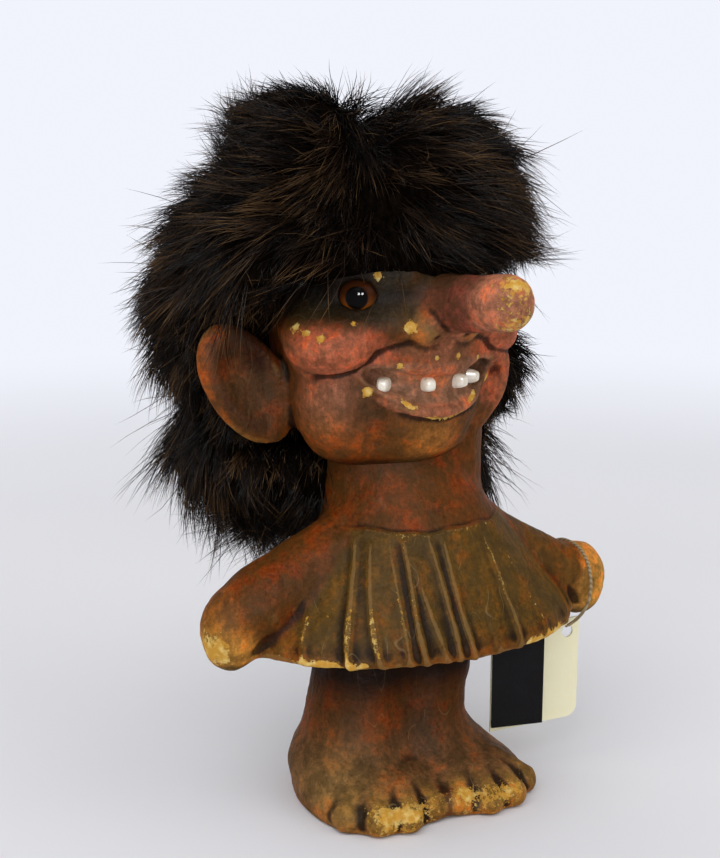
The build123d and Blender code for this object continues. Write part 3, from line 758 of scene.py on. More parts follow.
def grid_faces(rows, columns):
    """Faces of four for a grid of points whose rows close on themselves."""
    r, c = np.meshgrid(np.arange(rows - 1), np.arange(columns), indexing="ij")
    after = (c + 1) % columns
    near, far = r * columns, (r + 1) * columns
    quad = np.stack([near + c, near + after, far + after, far + c], -1)
    return quad.reshape(-1, 4)


def shut(grid):
    """Values of a grid of points in one row, followed by the means of its first and last rows."""
    return np.concatenate([grid.reshape(-1, *grid.shape[2:]), grid[[0, -1]].mean(1)])


def shut_faces(rows, columns):
    """Faces of three for such a grid, with a fan at each end about the point that shuts it."""
    quad = grid_faces(rows, columns)
    first, last = np.full((2, columns), [[rows * columns], [rows * columns + 1]])
    start = np.arange(columns)
    end = start + (rows - 1) * columns
    fans = np.stack([np.roll(start, -1), start, first], 1), np.stack([end, np.roll(end, -1), last], 1)
    return np.concatenate([quad[:, [0, 1, 2]], quad[:, [0, 2, 3]], *fans])


# Shader nodes


class Wire:
    """A shader socket that takes part in Python sums; each sum adds a Math node."""

    def __init__(self, tree, socket):
        self.tree, self.socket = tree, socket

    def maths(self, operation, *values):
        """Adds a Math node with an operation on values or sockets."""
        node = self.tree.nodes.new("ShaderNodeMath")
        node.operation = operation
        for socket, value in zip(node.inputs, values):
            if isinstance(value, Wire):
                self.tree.links.new(value.socket, socket)
            else:
                socket.default_value = value
        return Wire(self.tree, node.outputs[0])

    def __add__(self, other):
        return self.maths("ADD", self, other)

    def __sub__(self, other):
        return self.maths("SUBTRACT", self, other)

    def __rsub__(self, other):
        return self.maths("SUBTRACT", other, self)

    def __mul__(self, other):
        return self.maths("MULTIPLY", self, other)

    __radd__, __rmul__ = __add__, __mul__

    def between(self, low, high):
        """0 below low, 1 above high and smooth between."""
        node = self.tree.nodes.new("ShaderNodeMapRange")
        node.interpolation_type = "SMOOTHSTEP"
        self.tree.links.new(self.socket, node.inputs["Value"])
        node.inputs["From Min"].default_value, node.inputs["From Max"].default_value = low, high
        return Wire(self.tree, node.outputs["Result"])


class Nodes:
    """A tree of shader nodes that are added by calls."""

    def __init__(self, tree):
        self.tree = tree

    def node(self, kind, settings=None, output=0, **inputs):
        """Adds a node of a type, makes its settings, then fills its sockets with values or links."""
        node = self.tree.nodes.new("ShaderNode" + kind)
        for name, value in (settings or {}).items():
            setattr(node, name, value)
        for name, value in inputs.items():
            key = int(name[1:]) if name[0] == "_" else name.replace("_", " ")
            socket = node.inputs[key]
            if isinstance(value, Wire):
                self.tree.links.new(value.socket, socket)
            else:
                socket.default_value = value
        return Wire(self.tree, node.outputs[output])

    def place(self, scale=(1.0, 1.0, 1.0), turn=(0.0, 0.0, 0.0)):
        """Object coordinates, stretched and turned."""
        where = self.node("TexCoord", output="Object")
        return self.node("Mapping", Vector=where, Scale=scale, Rotation=turn)

    def noise(self, scale, detail=3.0, where=None, roughness=0.55):
        """Smooth noise with about scale lumps to a metre."""
        return self.node("TexNoise", output="Fac", Vector=where or self.place(), Scale=scale, Detail=detail,
                         Roughness=roughness)

    def kept(self, name, output="Fac"):
        """A number or colour that the mesh keeps under a name."""
        return self.node("Attribute", {"attribute_name": name}, output)

    def mix(self, share, a, b, blend="MIX"):
        """Colour between a and b."""
        first, second = (value if isinstance(value, Wire) else (*value, 1.0) for value in (a, b))
        return self.node("Mix", {"data_type": "RGBA", "blend_type": blend}, 2, _0=share, _6=first, _7=second)

    def seen(self):
        """1 for rays from the camera, off a gloss or through glass, and 0 for the rest."""
        camera, gloss, glass = (self.node("LightPath", output=f"Is {ray} Ray")
                                for ray in ("Camera", "Glossy", "Transmission"))
        return camera + gloss + glass

    def show(self, surface, output):
        """Links a shader to the output node of a name."""
        self.tree.links.new(surface.socket, self.tree.nodes[output].inputs["Surface"])


class Finish(Nodes):
    """A material of one Principled shader."""

    def __init__(self, name, **settings):
        self.material = bpy.data.materials.new(name)
        self.material.use_nodes = True
        super().__init__(self.material.node_tree)
        self.shader = self.tree.nodes["Principled BSDF"]
        for socket, value in settings.items():
            self.shader.inputs[socket.replace("_", " ")].default_value = value

    def feed(self, **sockets):
        """Links values to the shader's sockets."""
        for name, value in sockets.items():
            self.tree.links.new(value.socket, self.shader.inputs[name.replace("_", " ")])
        return self

    def raise_by(self, height, strength, distance):
        """Feeds the normal from a height."""
        return self.feed(Normal=self.node("Bump", Height=height, Strength=strength, Distance=distance))


# Finishes


def painted_rubber(name):
    """Hand paint on cast rubber: the piece's own colour, mottled warm and dark by brush and wash, with
    painted shade in its grooves and paint thin on its ridges, with fine scratches, and chips and flecks of
    bare rubber where worn."""
    paint = bpy.context.scene.troll_paint
    f = Finish(name, Specular_IOR_Level=0.03)
    colour, wear, relief = f.kept("paint", "Color"), f.kept("wear"), f.kept("relief")
    broad, fine, speckle = f.noise(70, 4), f.noise(420, 5, roughness=0.65), f.noise(1100, 4, roughness=0.7)
    streak = f.noise(1.0, 4, f.place((700, 700, 130), (0.2, 0.35, 0.3)), 0.6)
    blotch = f.noise(150, 8, roughness=0.75)

    # Lighter and darker by the brush, warmer in blotches, darkened by a wash
    tone = 1.2 * broad + 1.1 * streak + 2.0 * speckle - 1.15
    shade = f.node("CombineColor", {"mode": "RGB"}, _0=tone, _1=tone, _2=tone)
    colour = f.mix(1.0, colour, shade, "MULTIPLY")
    warm = f.mix(1.0, colour, WARM, "MULTIPLY")
    colour = f.mix(blotch.between(0.50, 0.66) * 0.8, colour, warm)
    washed = (fine * 0.35 + speckle * 0.25 - blotch).between(-0.30, -0.08) * 0.65
    colour = f.mix(washed, colour, paint.wash, "DARKEN")

    # Painted shade in the grooves, and paint rubbed thin on the ridges
    colour = f.mix((fine * 0.6 - relief).between(0.5, 1.7) * 0.85, colour, paint.hollow)
    rubbed = (relief + fine * 0.9 + speckle * 0.6).between(1.5, 2.2)
    colour = f.mix(rubbed * 0.45, colour, paint.rubbed)

    # Scratches, along the middle level of a stretched noise
    off = f.noise(1.0, 1.0, f.place((130, 130, 38), (0.12, 0.2, 0.5))) - 0.5
    line = off.maths("ABSOLUTE", off).between(0.006, 0.002)
    scratch = line * f.noise(120, 3).between(0.50, 0.60) * f.kept("scratch")
    colour = f.mix(scratch * 0.35, colour, paint.scratch)

    # Chips and flecks of bare rubber
    chips = (wear + f.noise(330, 5, roughness=0.65) * 0.8).between(1.0, 1.06)
    flecks = (wear * 0.7 + speckle).between(0.90, 0.94)
    bare = chips.maths("MAXIMUM", chips, flecks * 0.8)
    pale = f.mix(f.noise(520, 3).between(0.42, 0.7), paint.bare, paint.pale)
    colour = f.mix(bare, colour, pale)
    f.feed(Base_Color=colour, Roughness=0.36 + fine * 0.26 + bare * 0.1)
    height = fine * 0.45 + blotch * 0.3 + speckle * 0.3 + streak * 0.2 - bare * 0.35
    f.raise_by(height, 0.75, 0.0011)
    return f.material


def eye_glass():
    """Amber glass over a black pupil: dark at the rim, with painted shade at the top and painted light low
    down, where the glass gathers the light, and with fine rays.
    """
    paint = bpy.context.scene.troll_paint
    f = Finish("amber_eye", Roughness=0.03, IOR=1.5, Specular_IOR_Level=0.04)
    reach, high = f.kept("reach"), f.kept("high")
    ray = f.noise(900, 3)
    # Painted light and shade: dark amber high in the iris, bright amber low down
    amber = f.mix((high + ray * 0.25).between(-0.75, 0.35), paint.amber, paint.amber_shaded_top)
    amber = f.mix((reach + ray * 0.06).between(0.62, 1.0) * 0.85, amber, IRIS_RIM)
    f.feed(Base_Color=f.mix(reach.between(0.45, 0.53), PUPIL, amber))
    return f.material


def tooth_paint():
    """Off-white enamel with faint stains, darker near the root."""
    f = Finish("tooth_enamel", Coat_Weight=0.25, Coat_Roughness=0.2)
    stain = f.noise(700, 4)
    colour = f.mix(stain.between(0.4, 0.75), ENAMEL, ENAMEL_STAIN)
    colour = f.mix(f.kept("root").between(0.5, 1.0) * 0.8, colour, ENAMEL_ROOT)
    f.feed(Base_Color=colour, Roughness=0.28 + stain * 0.2)
    return f.raise_by(stain, 0.2, 0.0004).material


def fur_paint():
    """Guard hairs: near black at the root, partly their own colour and partly painted shade deep in the fur,
    brown along their length, paler at the tips of the lighter ones.
    Across its map runs the tone of a hair, and up it the way from root to tip."""
    paint = bpy.context.scene.troll_paint
    f = Finish("dark_fur", Specular_IOR_Level=0.05, Roughness=0.36)
    where = f.node("UVMap", {"uv_map": "OFBake"})
    tone = f.node("SeparateXYZ", output="X", Vector=where)
    along = f.node("SeparateXYZ", output="Y", Vector=where)
    body = f.mix(tone.between(0.25, 0.9), paint.fur_dark, paint.fur_brown)
    # Near black at the root: partly the hair's own colour, partly painted shade deep in the fur
    body = f.mix(along.between(0.0, 0.45), HAIR_ROOT_SHADE, body)
    colour = f.mix(along.between(0.45, 1.0) * tone.between(0.45, 1.0), body, paint.fur_tip)
    f.feed(Base_Color=colour)
    return f.material


def undercoat_paint():
    """Short dense wool under the guard hairs, with a hairy surface."""
    f = Finish("fur_undercoat", Roughness=0.9, Specular_IOR_Level=0.0)
    lie = f.noise(1.0, 5, f.place((900, 900, 220)), 0.7)
    f.feed(Base_Color=f.mix(lie.between(0.35, 0.75), WOOL_DARK, WOOL))
    return f.raise_by(lie, 0.9, 0.0015).material


def card_paint(name, colour, dark, roughness):
    """Card with fibres in its face."""
    f = Finish(name, Specular_IOR_Level=0.06)
    fibre = f.noise(1.0, 5, f.place((2600, 2600, 700), (0.0, 0.4, 0.0)), 0.7)
    cloud = f.noise(120, 3)
    mottle = fibre.between(0.35, 0.8) * 0.6 + cloud.between(0.4, 0.8) * 0.3
    f.feed(Base_Color=f.mix(mottle, colour, dark), Roughness=roughness + 0.15 * fibre)
    return f.raise_by(fibre, 0.25, 0.0002).material


def thread_paint():
    """Twisted cotton: slanting plies of light and dark."""
    f = Finish("cotton_thread", Roughness=0.85, Specular_IOR_Level=0.2)
    ply = f.node("TexWave", {"wave_type": "BANDS", "bands_direction": "DIAGONAL"}, "Fac",
                 Vector=f.place(), Scale=420.0, Distortion=1.5, Detail=2.0)
    f.feed(Base_Color=f.mix(ply, COTTON_DARK, COTTON))
    return f.raise_by(ply, 0.6, 0.0002).material


def plain_paint(name, colour, dark, scale, roughness, metallic=0.0):
    """A finish for pieces that mostly hide: a mottled colour with a fine grain."""
    f = Finish(name, Metallic=metallic)
    mottle = f.noise(scale, 5)
    f.feed(Base_Color=f.mix(mottle.between(0.35, 0.7), colour, dark), Roughness=roughness + 0.2 * mottle)
    return f.raise_by(mottle, 0.3, 0.0004).material


def finish_node(name, material):
    """Puts a material on a node that stays as it is."""
    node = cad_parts[name]
    node.data.materials.clear()
    node.data.materials.append(material)


# Paint on the sculpted pieces


class Coat:
    """Paint on the points of a piece: colours laid one over another, with wear, scratches and relief."""

    def __init__(self, ground, relief):
        self.colour = np.tile(np.array(ground), (len(relief), 1))
        self.wear, self.scratch, self.relief = np.zeros(len(relief)), np.zeros(len(relief)), relief

    def lay(self, tint, share):
        """Mixes a colour in, by a share for each point."""
        self.colour += (np.array(tint) - self.colour) * np.clip(share, 0.0, 1.0)[:, None]


def body_paint(p, relief):
    """Colours of the body by region, each with a soft edge."""
    paint = bpy.context.scene.troll_paint
    x, y, z = p.T
    coat = Coat(paint.skin, relief)
    arm = np.minimum(*(rod(x, y, z, *ends) for ends in ARMS.values()))
    hand = egg(np.abs(x), y, z, HAND, HAND_HALF)
    legs = ease(z, HEM - 0.5, HEM - 2.0)
    cloth = ease(torso_field(*p.T.astype(np.float32)), 0.8, 0.1) * ease(hand, 0.2, 1.2)
    cloth *= ease(z, DRESS_TOP + 0.3, DRESS_TOP - 0.3) * ease(z, HEM - 1.0, HEM + 0.5)

    # Dress, arms and hands
    coat.lay(paint.olive, cloth * 0.95)
    coat.lay(paint.rust, cloth * ease(z, HEM + 6.0, HEM) * 0.35)
    coat.lay(paint.olive, ease(arm, 1.2, 0.1) * ease(x, 5.0, 15.0) * 0.6)
    coat.lay(paint.rust, ease(hand, 2.0, 0.1) * 0.9)
    warm = np.maximum(ease(z, 52.0, 44.0) * 0.8, ease(x, 30.0, 40.0))
    coat.lay(paint.amber_rust, ease(hand, 1.5, 0.1) * warm)

    # Legs and feet
    coat.lay(paint.leg, legs)
    coat.lay(paint.foot, legs * ease(z, 22.0, 7.0))
    coat.lay(paint.rust, legs * ease(z, 4.5, 0.5) * 0.6)
    coat.lay(paint.rubbed, legs * dab(p, FOOT_RUB, 11.0) * 0.9)
    # Painted shadow under the hem, on the tops of the legs
    coat.lay(paint.hollow, legs * ease(z, 22.0, 32.0) * 0.95)

    # Toes and hands, rubbed down to the rubber
    for side in (RIGHT, LEFT):
        for angle, worn in zip(TOE_ANGLES, TOE_WEAR[side]):
            toe = dab(p, toe_tip(side, angle) + TOE_RUB, 4.2)
            coat.lay(paint.bare, toe * 0.7 * worn * (relief > -0.3))
            coat.wear += 0.72 * worn * toe
        bare, worn = HAND_WEAR[side]
        mirrored = p * (side, 1, 1)
        coat.lay(paint.bare, dab(mirrored, HAND_RUB, 8.0) * bare)
        coat.wear += dab(mirrored, HAND_RUB, 6.5) * worn

    # Wear on the hem, the pleats, the arms and the soles
    patch = ease(lumps(p, 24.0, 3), -0.2, 0.9)
    coat.wear += 0.24 * bump(z - HEM - 1.2, 1.5) * cloth * patch
    coat.wear += 0.30 * cloth * np.clip(relief, 0, 1) * patch + 0.25 * cloth
    coat.wear += 0.30 * ease(arm, 1.0, 0.1) * ease(hand, 4.0, 1.0)
    coat.wear += 0.22 * legs * ease(z, 3.0, 0.5)
    coat.scratch = 0.25 + 0.75 * legs * ease(z, 26.0, 14.0) + 0.55 * cloth
    coat.relief = np.where(relief > 0, relief * (1 - 0.6 * legs), relief)
    return coat


def head_paint(p, relief):
    """Colours of the head by region, in its own frame; x is mirrored for the right one of a pair."""
    paint = bpy.context.scene.troll_paint
    x, y, z = p.T
    coat = Coat(paint.skin, relief)
    off_nose = ease(y, -29.0, -25.0)
    quiet = ease(z, 8.0, 11.0) * off_nose
    # Grey-green round the eyes; above them, dark that is partly the brow's own paint and partly painted shade
    # under the fringe
    coat.lay(paint.brow, ease(z, -1.0, 4.0) * ease(y, 4.0, -6.0) * off_nose)
    coat.lay(paint.hollow, ease(z, 3.5, 9.0) * 0.9 * off_nose)
    eye, gaze = eye_middle(LEFT)
    for side in SIDES.values():
        mirrored = p * (side, 1, 1)
        left = mirrored[:, 0]

        # Cheek, jowl, and painted shade in the socket of the eye
        out, across = turned(left, y, CHEEK_PLACE, radians(CHEEK_AZIMUTH))
        cheek = (np.stack([out, across, z], 1) - CHEEK_PAINT) / CHEEK_PAINT_HALF
        coat.lay(paint.rose, ease(np.linalg.norm(cheek, axis=1), 1.15, 0.75))
        jowl = egg(left, y, z, JOWL_PAINT, JOWL_PAINT_HALF)
        coat.lay(paint.rust, ease(jowl, 3.5, 0.5) * ease(z, -16.0, -23.0) * 0.40)
        # Jowl dabs, the last of them painted shade in the valley beside the mouth
        for tint, place, width, share in JOWL_DABS:
            coat.lay(getattr(paint, tint), dab(mirrored, place, width) * share)
        # Painted shade in the socket round the eye
        socket = dab(mirrored, eye + gaze * 3.0, 6.8)
        coat.lay(paint.hollow, socket * 0.85)
        quiet = np.maximum(quiet, socket)

        # Ear: its own colour with painted shade in its hollow, warm along its outer rim
        across, front, along = ear_frame(left, y, z)
        ear = egg(across, front, along, (0, 0, 0), EAR_HALF)
        rim = np.hypot(across / EAR_HALF[0], along / EAR_HALF[2])
        coat.lay(paint.ear, ease(ear, 3.0, 0.6) * ease(left, 26.0, 30.0))
        flap = ease(ear, 1.6, 0.2) * ease(left, 27.0, 31.0)
        # Painted shade inside the ear
        inner = np.maximum(bump(rim - 0.66, 0.16) * 0.55, ease(-across, -2.0, 5.0) * 0.75)
        coat.lay(paint.hollow, flap * inner * ease(front, 0.5, -1.0))
        outer = flap * ease(-across, 4.5, 1.0)
        coat.lay(paint.rust, outer * ease(rim, 0.80, 0.92) * 0.7)
        coat.lay(paint.amber_rust, outer * ease(rim, 0.88, 0.98) * ease(along, 0.0, -9.0) * 0.7)

    # Left jowl and chin, and painted shadow on the throat under the chin
    coat.lay(paint.rose, ease(egg(x, y, z, LEFT_JOWL, LEFT_JOWL_HALF), 2.0, 0.3) * 0.7)
    chin = egg(x, y, z, CHIN_PAINT, CHIN_PAINT_HALF)
    coat.lay(paint.rust, ease(chin, 2.0, 0.3) * ease(z, -19.5, -22.0) * 0.9)
    coat.lay(paint.amber_rust, dab(p, CHIN_DAB, 7.0) * 0.5)
    coat.lay(paint.skin, ease(z, -23.5, -28.0) * ease(chin, 2.0, 5.0) * 0.7)
    # Painted shadow under the chin
    coat.lay(paint.hollow, ease(z, -27.0, -30.0) * 0.8)

    # Nose and mouth
    coat.lay(paint.nose, ease(y, -24.0, -29.0) * ease(z, -3.0, -1.0))
    coat.lay(paint.blush, ease(y, -36.0, -43.0))
    coat.lay(paint.brow, ease(y, -36.0, -28.0) * ease(z, 7.0, 11.0) * ease(y, -18.0, -22.0) * 0.7)
    band = ease(mouth_band(x, y, z), 1.2, 0.2)
    coat.lay(paint.gum, band)
    lip = np.minimum(lip_ring(x, y, z, *LOWER_LIP), lip_ring(x, y, z, *UPPER_LIP))
    coat.lay(paint.lip, dab(p, LIP_DAB, 9.0) * 0.85 * (1 - band))
    coat.lay(paint.lip, ease(lip, 0.8, 0.1))

    # Wear on the nose, the face, the lips, the chin and the brow
    coat.wear = 0.50 * ease(y, -41.0, -49.0) + 0.25 * ease(y, -34.0, -44.0) * (1 - bump(z - 7.5, 4.0))
    for side in SIDES.values():
        mirrored = p * (side, 1, 1)
        coat.lay(paint.bare, dab(mirrored, WING_DAB, 3.4) * 0.45)
        coat.wear += 0.26 * dab(mirrored, WING_DAB, 2.6)
        for *spot, radius in FACE_CHIPS:
            coat.wear += 0.85 * dab(mirrored, spot, radius)
    coat.wear += 0.66 * ease(lip_ring(x, y, z, *LOWER_EDGE), 1.3, 0.2)
    coat.wear += 0.40 * ease(lip_ring(x, y, z, *UPPER_EDGE), 0.9, 0.0)
    coat.wear += 0.30 * ease(chin, 1.6, 0.2) * ease(z, -23.0, -26.0)
    coat.wear += 0.22 * ease(z, 2.0, 6.0) * off_nose * ease(y, 0.0, -8.0)
    coat.scratch += 0.25
    coat.relief = relief * (1 - np.maximum(0.85 * band, quiet))
    return coat


def make_sculpt(name, field, box, step, painter, node, on_head):
    """Meshes a field, works out its relief and paint, and puts it in the scene on the figure."""
    step = step / MM * 1
    points, faces, normals = surface_of(field, *box, step)
    relief = relief_of(points, faces, normals)
    rough = LUMP * lumps(points, LUMP_SIZE, 1) + GRAIN * lumps(points, GRAIN_SIZE, 2)
    off_sole = 1.0 if on_head else ease(points[:, 2], 0.4, 1.6)
    points += normals * (rough * off_sole)[:, None]
    coat = painter(points, relief)
    mesh = new_mesh(name, (to_world(points) if on_head else points) * MM, faces)
    give(mesh, "paint", coat.colour)
    for key in ("wear", "relief", "scratch"):
        give(mesh, key, getattr(coat, key))
    return new_piece(name, mesh, "figure", painted_rubber(name + "_paint"), (node,))


# Fur


def fur_lie(roots, normals):
    """Lie of the fur at points: the guides' directions weighed by their nearness and laid along the surface.
    Returns it with the uprightness and the length there."""
    gap = ((roots[:, None] - FUR_GUIDES[None, :, :3]) ** 2).sum(2)
    weight = (gap + GUIDE_BLUR) ** -2.0
    weight /= weight.sum(1, keepdims=True)
    lie = weight @ FUR_GUIDES[:, 3:6]
    lie -= normals * (lie * normals).sum(1)[:, None]
    lie /= np.maximum(np.linalg.norm(lie, axis=1), 0.05)[:, None]
    return lie, weight @ FUR_GUIDES[:, 6], weight @ FUR_GUIDES[:, 7]


def grow_locks(points, faces, normals, rng, count):
    """Locks rooted at random on the faces that are clear of the head, by area, with the wisps at the temples
    last. Gives each lock its root, normal, lie, uprightness, length, tone and bend."""
    a, b, c = (points[faces[:, corner]] for corner in range(3))
    middle = (a + c) / 2
    clear = head_field(*middle.T.astype(np.float32)) > ROOT_CLEARANCE
    area = np.linalg.norm(np.cross(b - a, c - a), axis=1) * clear
    x, y, z = middle.T
    temple = (np.abs(x) > TEMPLE_X) & (y < TEMPLE_Y) & (z > TEMPLE_LOW) & (z < TEMPLE_HIGH)
    chosen = np.concatenate([
        rng.choice(len(faces), number, p=share / share.sum())
        for number, share in ((count, area), (WISPS, area * temple))
    ])
    locks = len(chosen)
    lock = SimpleNamespace(root=middle[chosen], normal=normals[faces[chosen, 0]])
    lock.wisp = np.arange(locks) >= count
    lock.lie, stand, long = fur_lie(lock.root, lock.normal)
    lock.stand = stand * rng.uniform(*LOCK_STAND, locks)
    x, y, z = lock.root.T
    edge = ease(y - hair_front(x, z), 9.0, 2.0) * ease(z, 16.0, 10.0)
    mean = bpy.context.scene.troll_fur.length / MM
    length = mean * long * rng.uniform(*LOCK_LENGTH, locks) * (1 - HAIRLINE_SHORTER * edge)
    lock.length = np.where(lock.wisp, WISP_LENGTH, length)
    lock.tone = rng.beta(*LOCK_TONES, locks)
    lock.bend = rng.normal(0, LOCK_BEND, (locks, 3))
    return lock


def grow_hairs(lock, rng, per_lock):
    """Paths of the hairs: each leaves the wool near its lock's root in one direction and bends into another,
    draws in towards its lock and waves a little. Those that run deep in the head, and most of those over the
    face, are left out. Returns the paths, their first directions and the lock of each."""
    index = np.repeat(np.arange(len(lock.root)), per_lock)
    n = len(index)
    normal, lie, stand = lock.normal[index], lock.lie[index], lock.stand[index, None]
    spread = rng.normal(0, 1.0, (n, 3))
    spread -= normal * (spread * normal).sum(1)[:, None]
    spread *= rng.uniform(*HAIR_SPREAD, n)[:, None]
    root = lock.root[index] + spread - normal * ROOT_DEPTH
    stray = rng.random(n) < STRAYS
    wild = rng.normal(0, 1.0, (n, 3)) * np.where(stray, STRAY_WILD, WILD)[:, None]
    start = unit(normal * stand + lie * (1 - stand) * 1.1 + lock.bend[index] * 0.5 + wild)
    end = unit(lie + normal * (stand - 0.35) * 0.7 - UP * HANG + lock.bend[index] + wild * 1.3)
    length = lock.length[index] * rng.uniform(*HAIR_LENGTH, n)
    t = HAIR_LEVELS
    early, late = (t * (1 - t / 2))[:, None], (t * t / 2)[:, None]
    path = root[:, None] + length[:, None, None] * (early * start[:, None] + late * end[:, None])
    together = np.where(stray, STRAY_TOGETHER, TOGETHER)[:, None, None] * (t**1.3)[:, None]
    path -= spread[:, None] * together
    wave = rng.normal(0, 1.0, (n, 3))
    phase = rng.uniform(0, 2 * np.pi, n)
    path += wave[:, None] * (WAVE * t * np.sin(WAVE_TURN * t + phase[:, None]))[:, :, None]

    deep = -head_field(*path.reshape(-1, 3).T.astype(np.float32)).reshape(n, len(t))
    x, y, z = (path[..., axis] for axis in range(3))
    ahead = hair_front(x, z) - y - FACE_ROOM - TEMPLE_ROOM * ease(np.abs(x), 24.0, 29.0)
    brow_line = BROW_LINE - FRINGE_DIP * bump(x - DIP_X, DIP_WIDTH)
    over_face = ((ahead > 0) & (z < brow_line) & (x < FACE_LEFT)).any(1)
    allowed = np.where(lock.wisp[index], WISPS_KEPT, FRINGE_KEPT)
    keep = (deep[:, 2:].max(1) < HAIR_DEPTH) & ~(over_face & (rng.random(n) > allowed))
    return path[keep], start[keep], index[keep]


def hair_tubes(path, start, thick, rng):
    """Corners of thin three-sided tubes along paths, which taper and end in a point."""
    side_a = unit(np.cross(start, rng.normal(0, 1.0, start.shape)))
    side_b = np.cross(start, side_a)
    turn = np.arange(HAIR_SIDES) * 2 * np.pi / HAIR_SIDES
    ring = side_a[:, None] * np.cos(turn)[:, None] + side_b[:, None] * np.sin(turn)[:, None]
    radius = thick[:, None] * HAIR_TAPER
    tube = path[:, :-1, None] + ring[:, None] * radius[:, :, None, None]
    return np.concatenate([tube.reshape(len(path), -1, 3), path[:, -1:]], 1)


def hair_faces():
    """Faces of one such tube, shut at its root, with the way along and round it at each corner of a face."""
    sides, rings = HAIR_SIDES, len(HAIR_TAPER)
    after = [(s + 1) % sides for s in range(sides)]
    triangles = []
    for first, s in product(range(0, (rings - 1) * sides, sides), range(sides)):
        p, q = first + s, first + after[s]
        triangles += [(p, q, q + sides), (p, q + sides, p + sides)]
    last, tip = (rings - 1) * sides, rings * sides
    triangles += [(last + s, last + after[s], tip) for s in range(sides)] + [(2, 1, 0)]
    along = np.append(HAIR_LEVELS[:-1].repeat(sides), 1.0)
    sideways = np.append(np.tile(np.arange(sides) / sides, rings), 0.33)
    return np.array(triangles), along[triangles], sideways[triangles]


def make_fur(points, faces, normals):
    """Grows locks of hairs from the undercoat's surface, in a few pieces of equal size. Across the map of a
    hair runs its tone, and up it the way from root to tip."""
    settings = bpy.context.scene.troll_fur
    rng = np.random.default_rng(settings.seed)
    count = settings.strands // 1
    lock = grow_locks(points, faces, normals, rng, count // settings.per_lock)
    path, start, index = grow_hairs(lock, rng, settings.per_lock)
    n = len(path)
    tone = np.clip(lock.tone[index] + rng.normal(0, HAIR_TONE, n), 0.0, LIGHTEST)
    golden = np.where(lock.wisp[index], GOLDEN_WISPS, GOLDEN)
    tone = np.where(rng.random(n) < golden, LIGHTEST, tone)
    thick = settings.width / MM / 2 * rng.uniform(*HAIR_THICK, n)
    corners = hair_tubes(path, start, thick, rng)
    triangles, along, sideways = hair_faces()
    material = fur_paint()
    for number, own in enumerate(np.array_split(rng.permutation(n), settings.pieces), start=1):
        name = f"wig_fur_{number}"
        own_faces = triangles + (np.arange(len(own)) * corners.shape[1])[:, None, None]
        mesh = new_mesh(name, to_world(corners[own].reshape(-1, 3)) * MM, own_faces.reshape(-1, 3))
        u = tone[own, None, None] + sideways * 0.012
        places = np.stack([u, np.broadcast_to(along, u.shape)], -1)
        mesh.uv_layers.new(name="OFBake").data.foreach_set("uv", places.astype(np.float32).ravel())
        new_piece(name, mesh, "figure", material, ("wig_fur",))


# Settings that a user may change


def size_property(name, description, value):
    """A small length that a user may change."""
    return FloatProperty(name=name, description=description, default=value, unit="LENGTH", precision=5)


def place_property(name, description, value):
    """A point that a user may change."""
    return FloatVectorProperty(
        name=name, description=description, default=value, subtype="XYZ", unit="LENGTH")


def colour_property(name, description, value):
    """A colour that a user may change."""
    return FloatVectorProperty(
        name=name, description=description, default=value, subtype="COLOR", min=0.0, max=1.0)


class TrollSculpt(bpy.types.PropertyGroup):
    """Sizes of the sculpted meshes."""

    body_step: size_property("Body step", "Size of the body's faces", 0.00058)
    head_step: size_property("Head step", "Size of the head's faces", 0.00050)
    fur_step: size_property("Undercoat step", "Size of the undercoat's faces", 0.0014)


class TrollFur(bpy.types.PropertyGroup):
    """Sizes of the wig's fur."""

    strands: IntProperty(name="Hairs", description="Number of guard hairs", default=60000)
    per_lock: IntProperty(name="Hairs in a lock", description="Hairs that share one lock", default=30)
    pieces: IntProperty(name="Pieces", description="Pieces that the hairs are divided into", default=8)
    length: size_property("Length", "Mean length of a hair", 0.0150)
    width: size_property("Width", "Width of a hair", 0.00021)
    inset: size_property("Inset", "Depth of the undercoat under the fur's outline", 0.0045)
    seed: IntProperty(name="Seed", description="Start of the random draws", default=7)


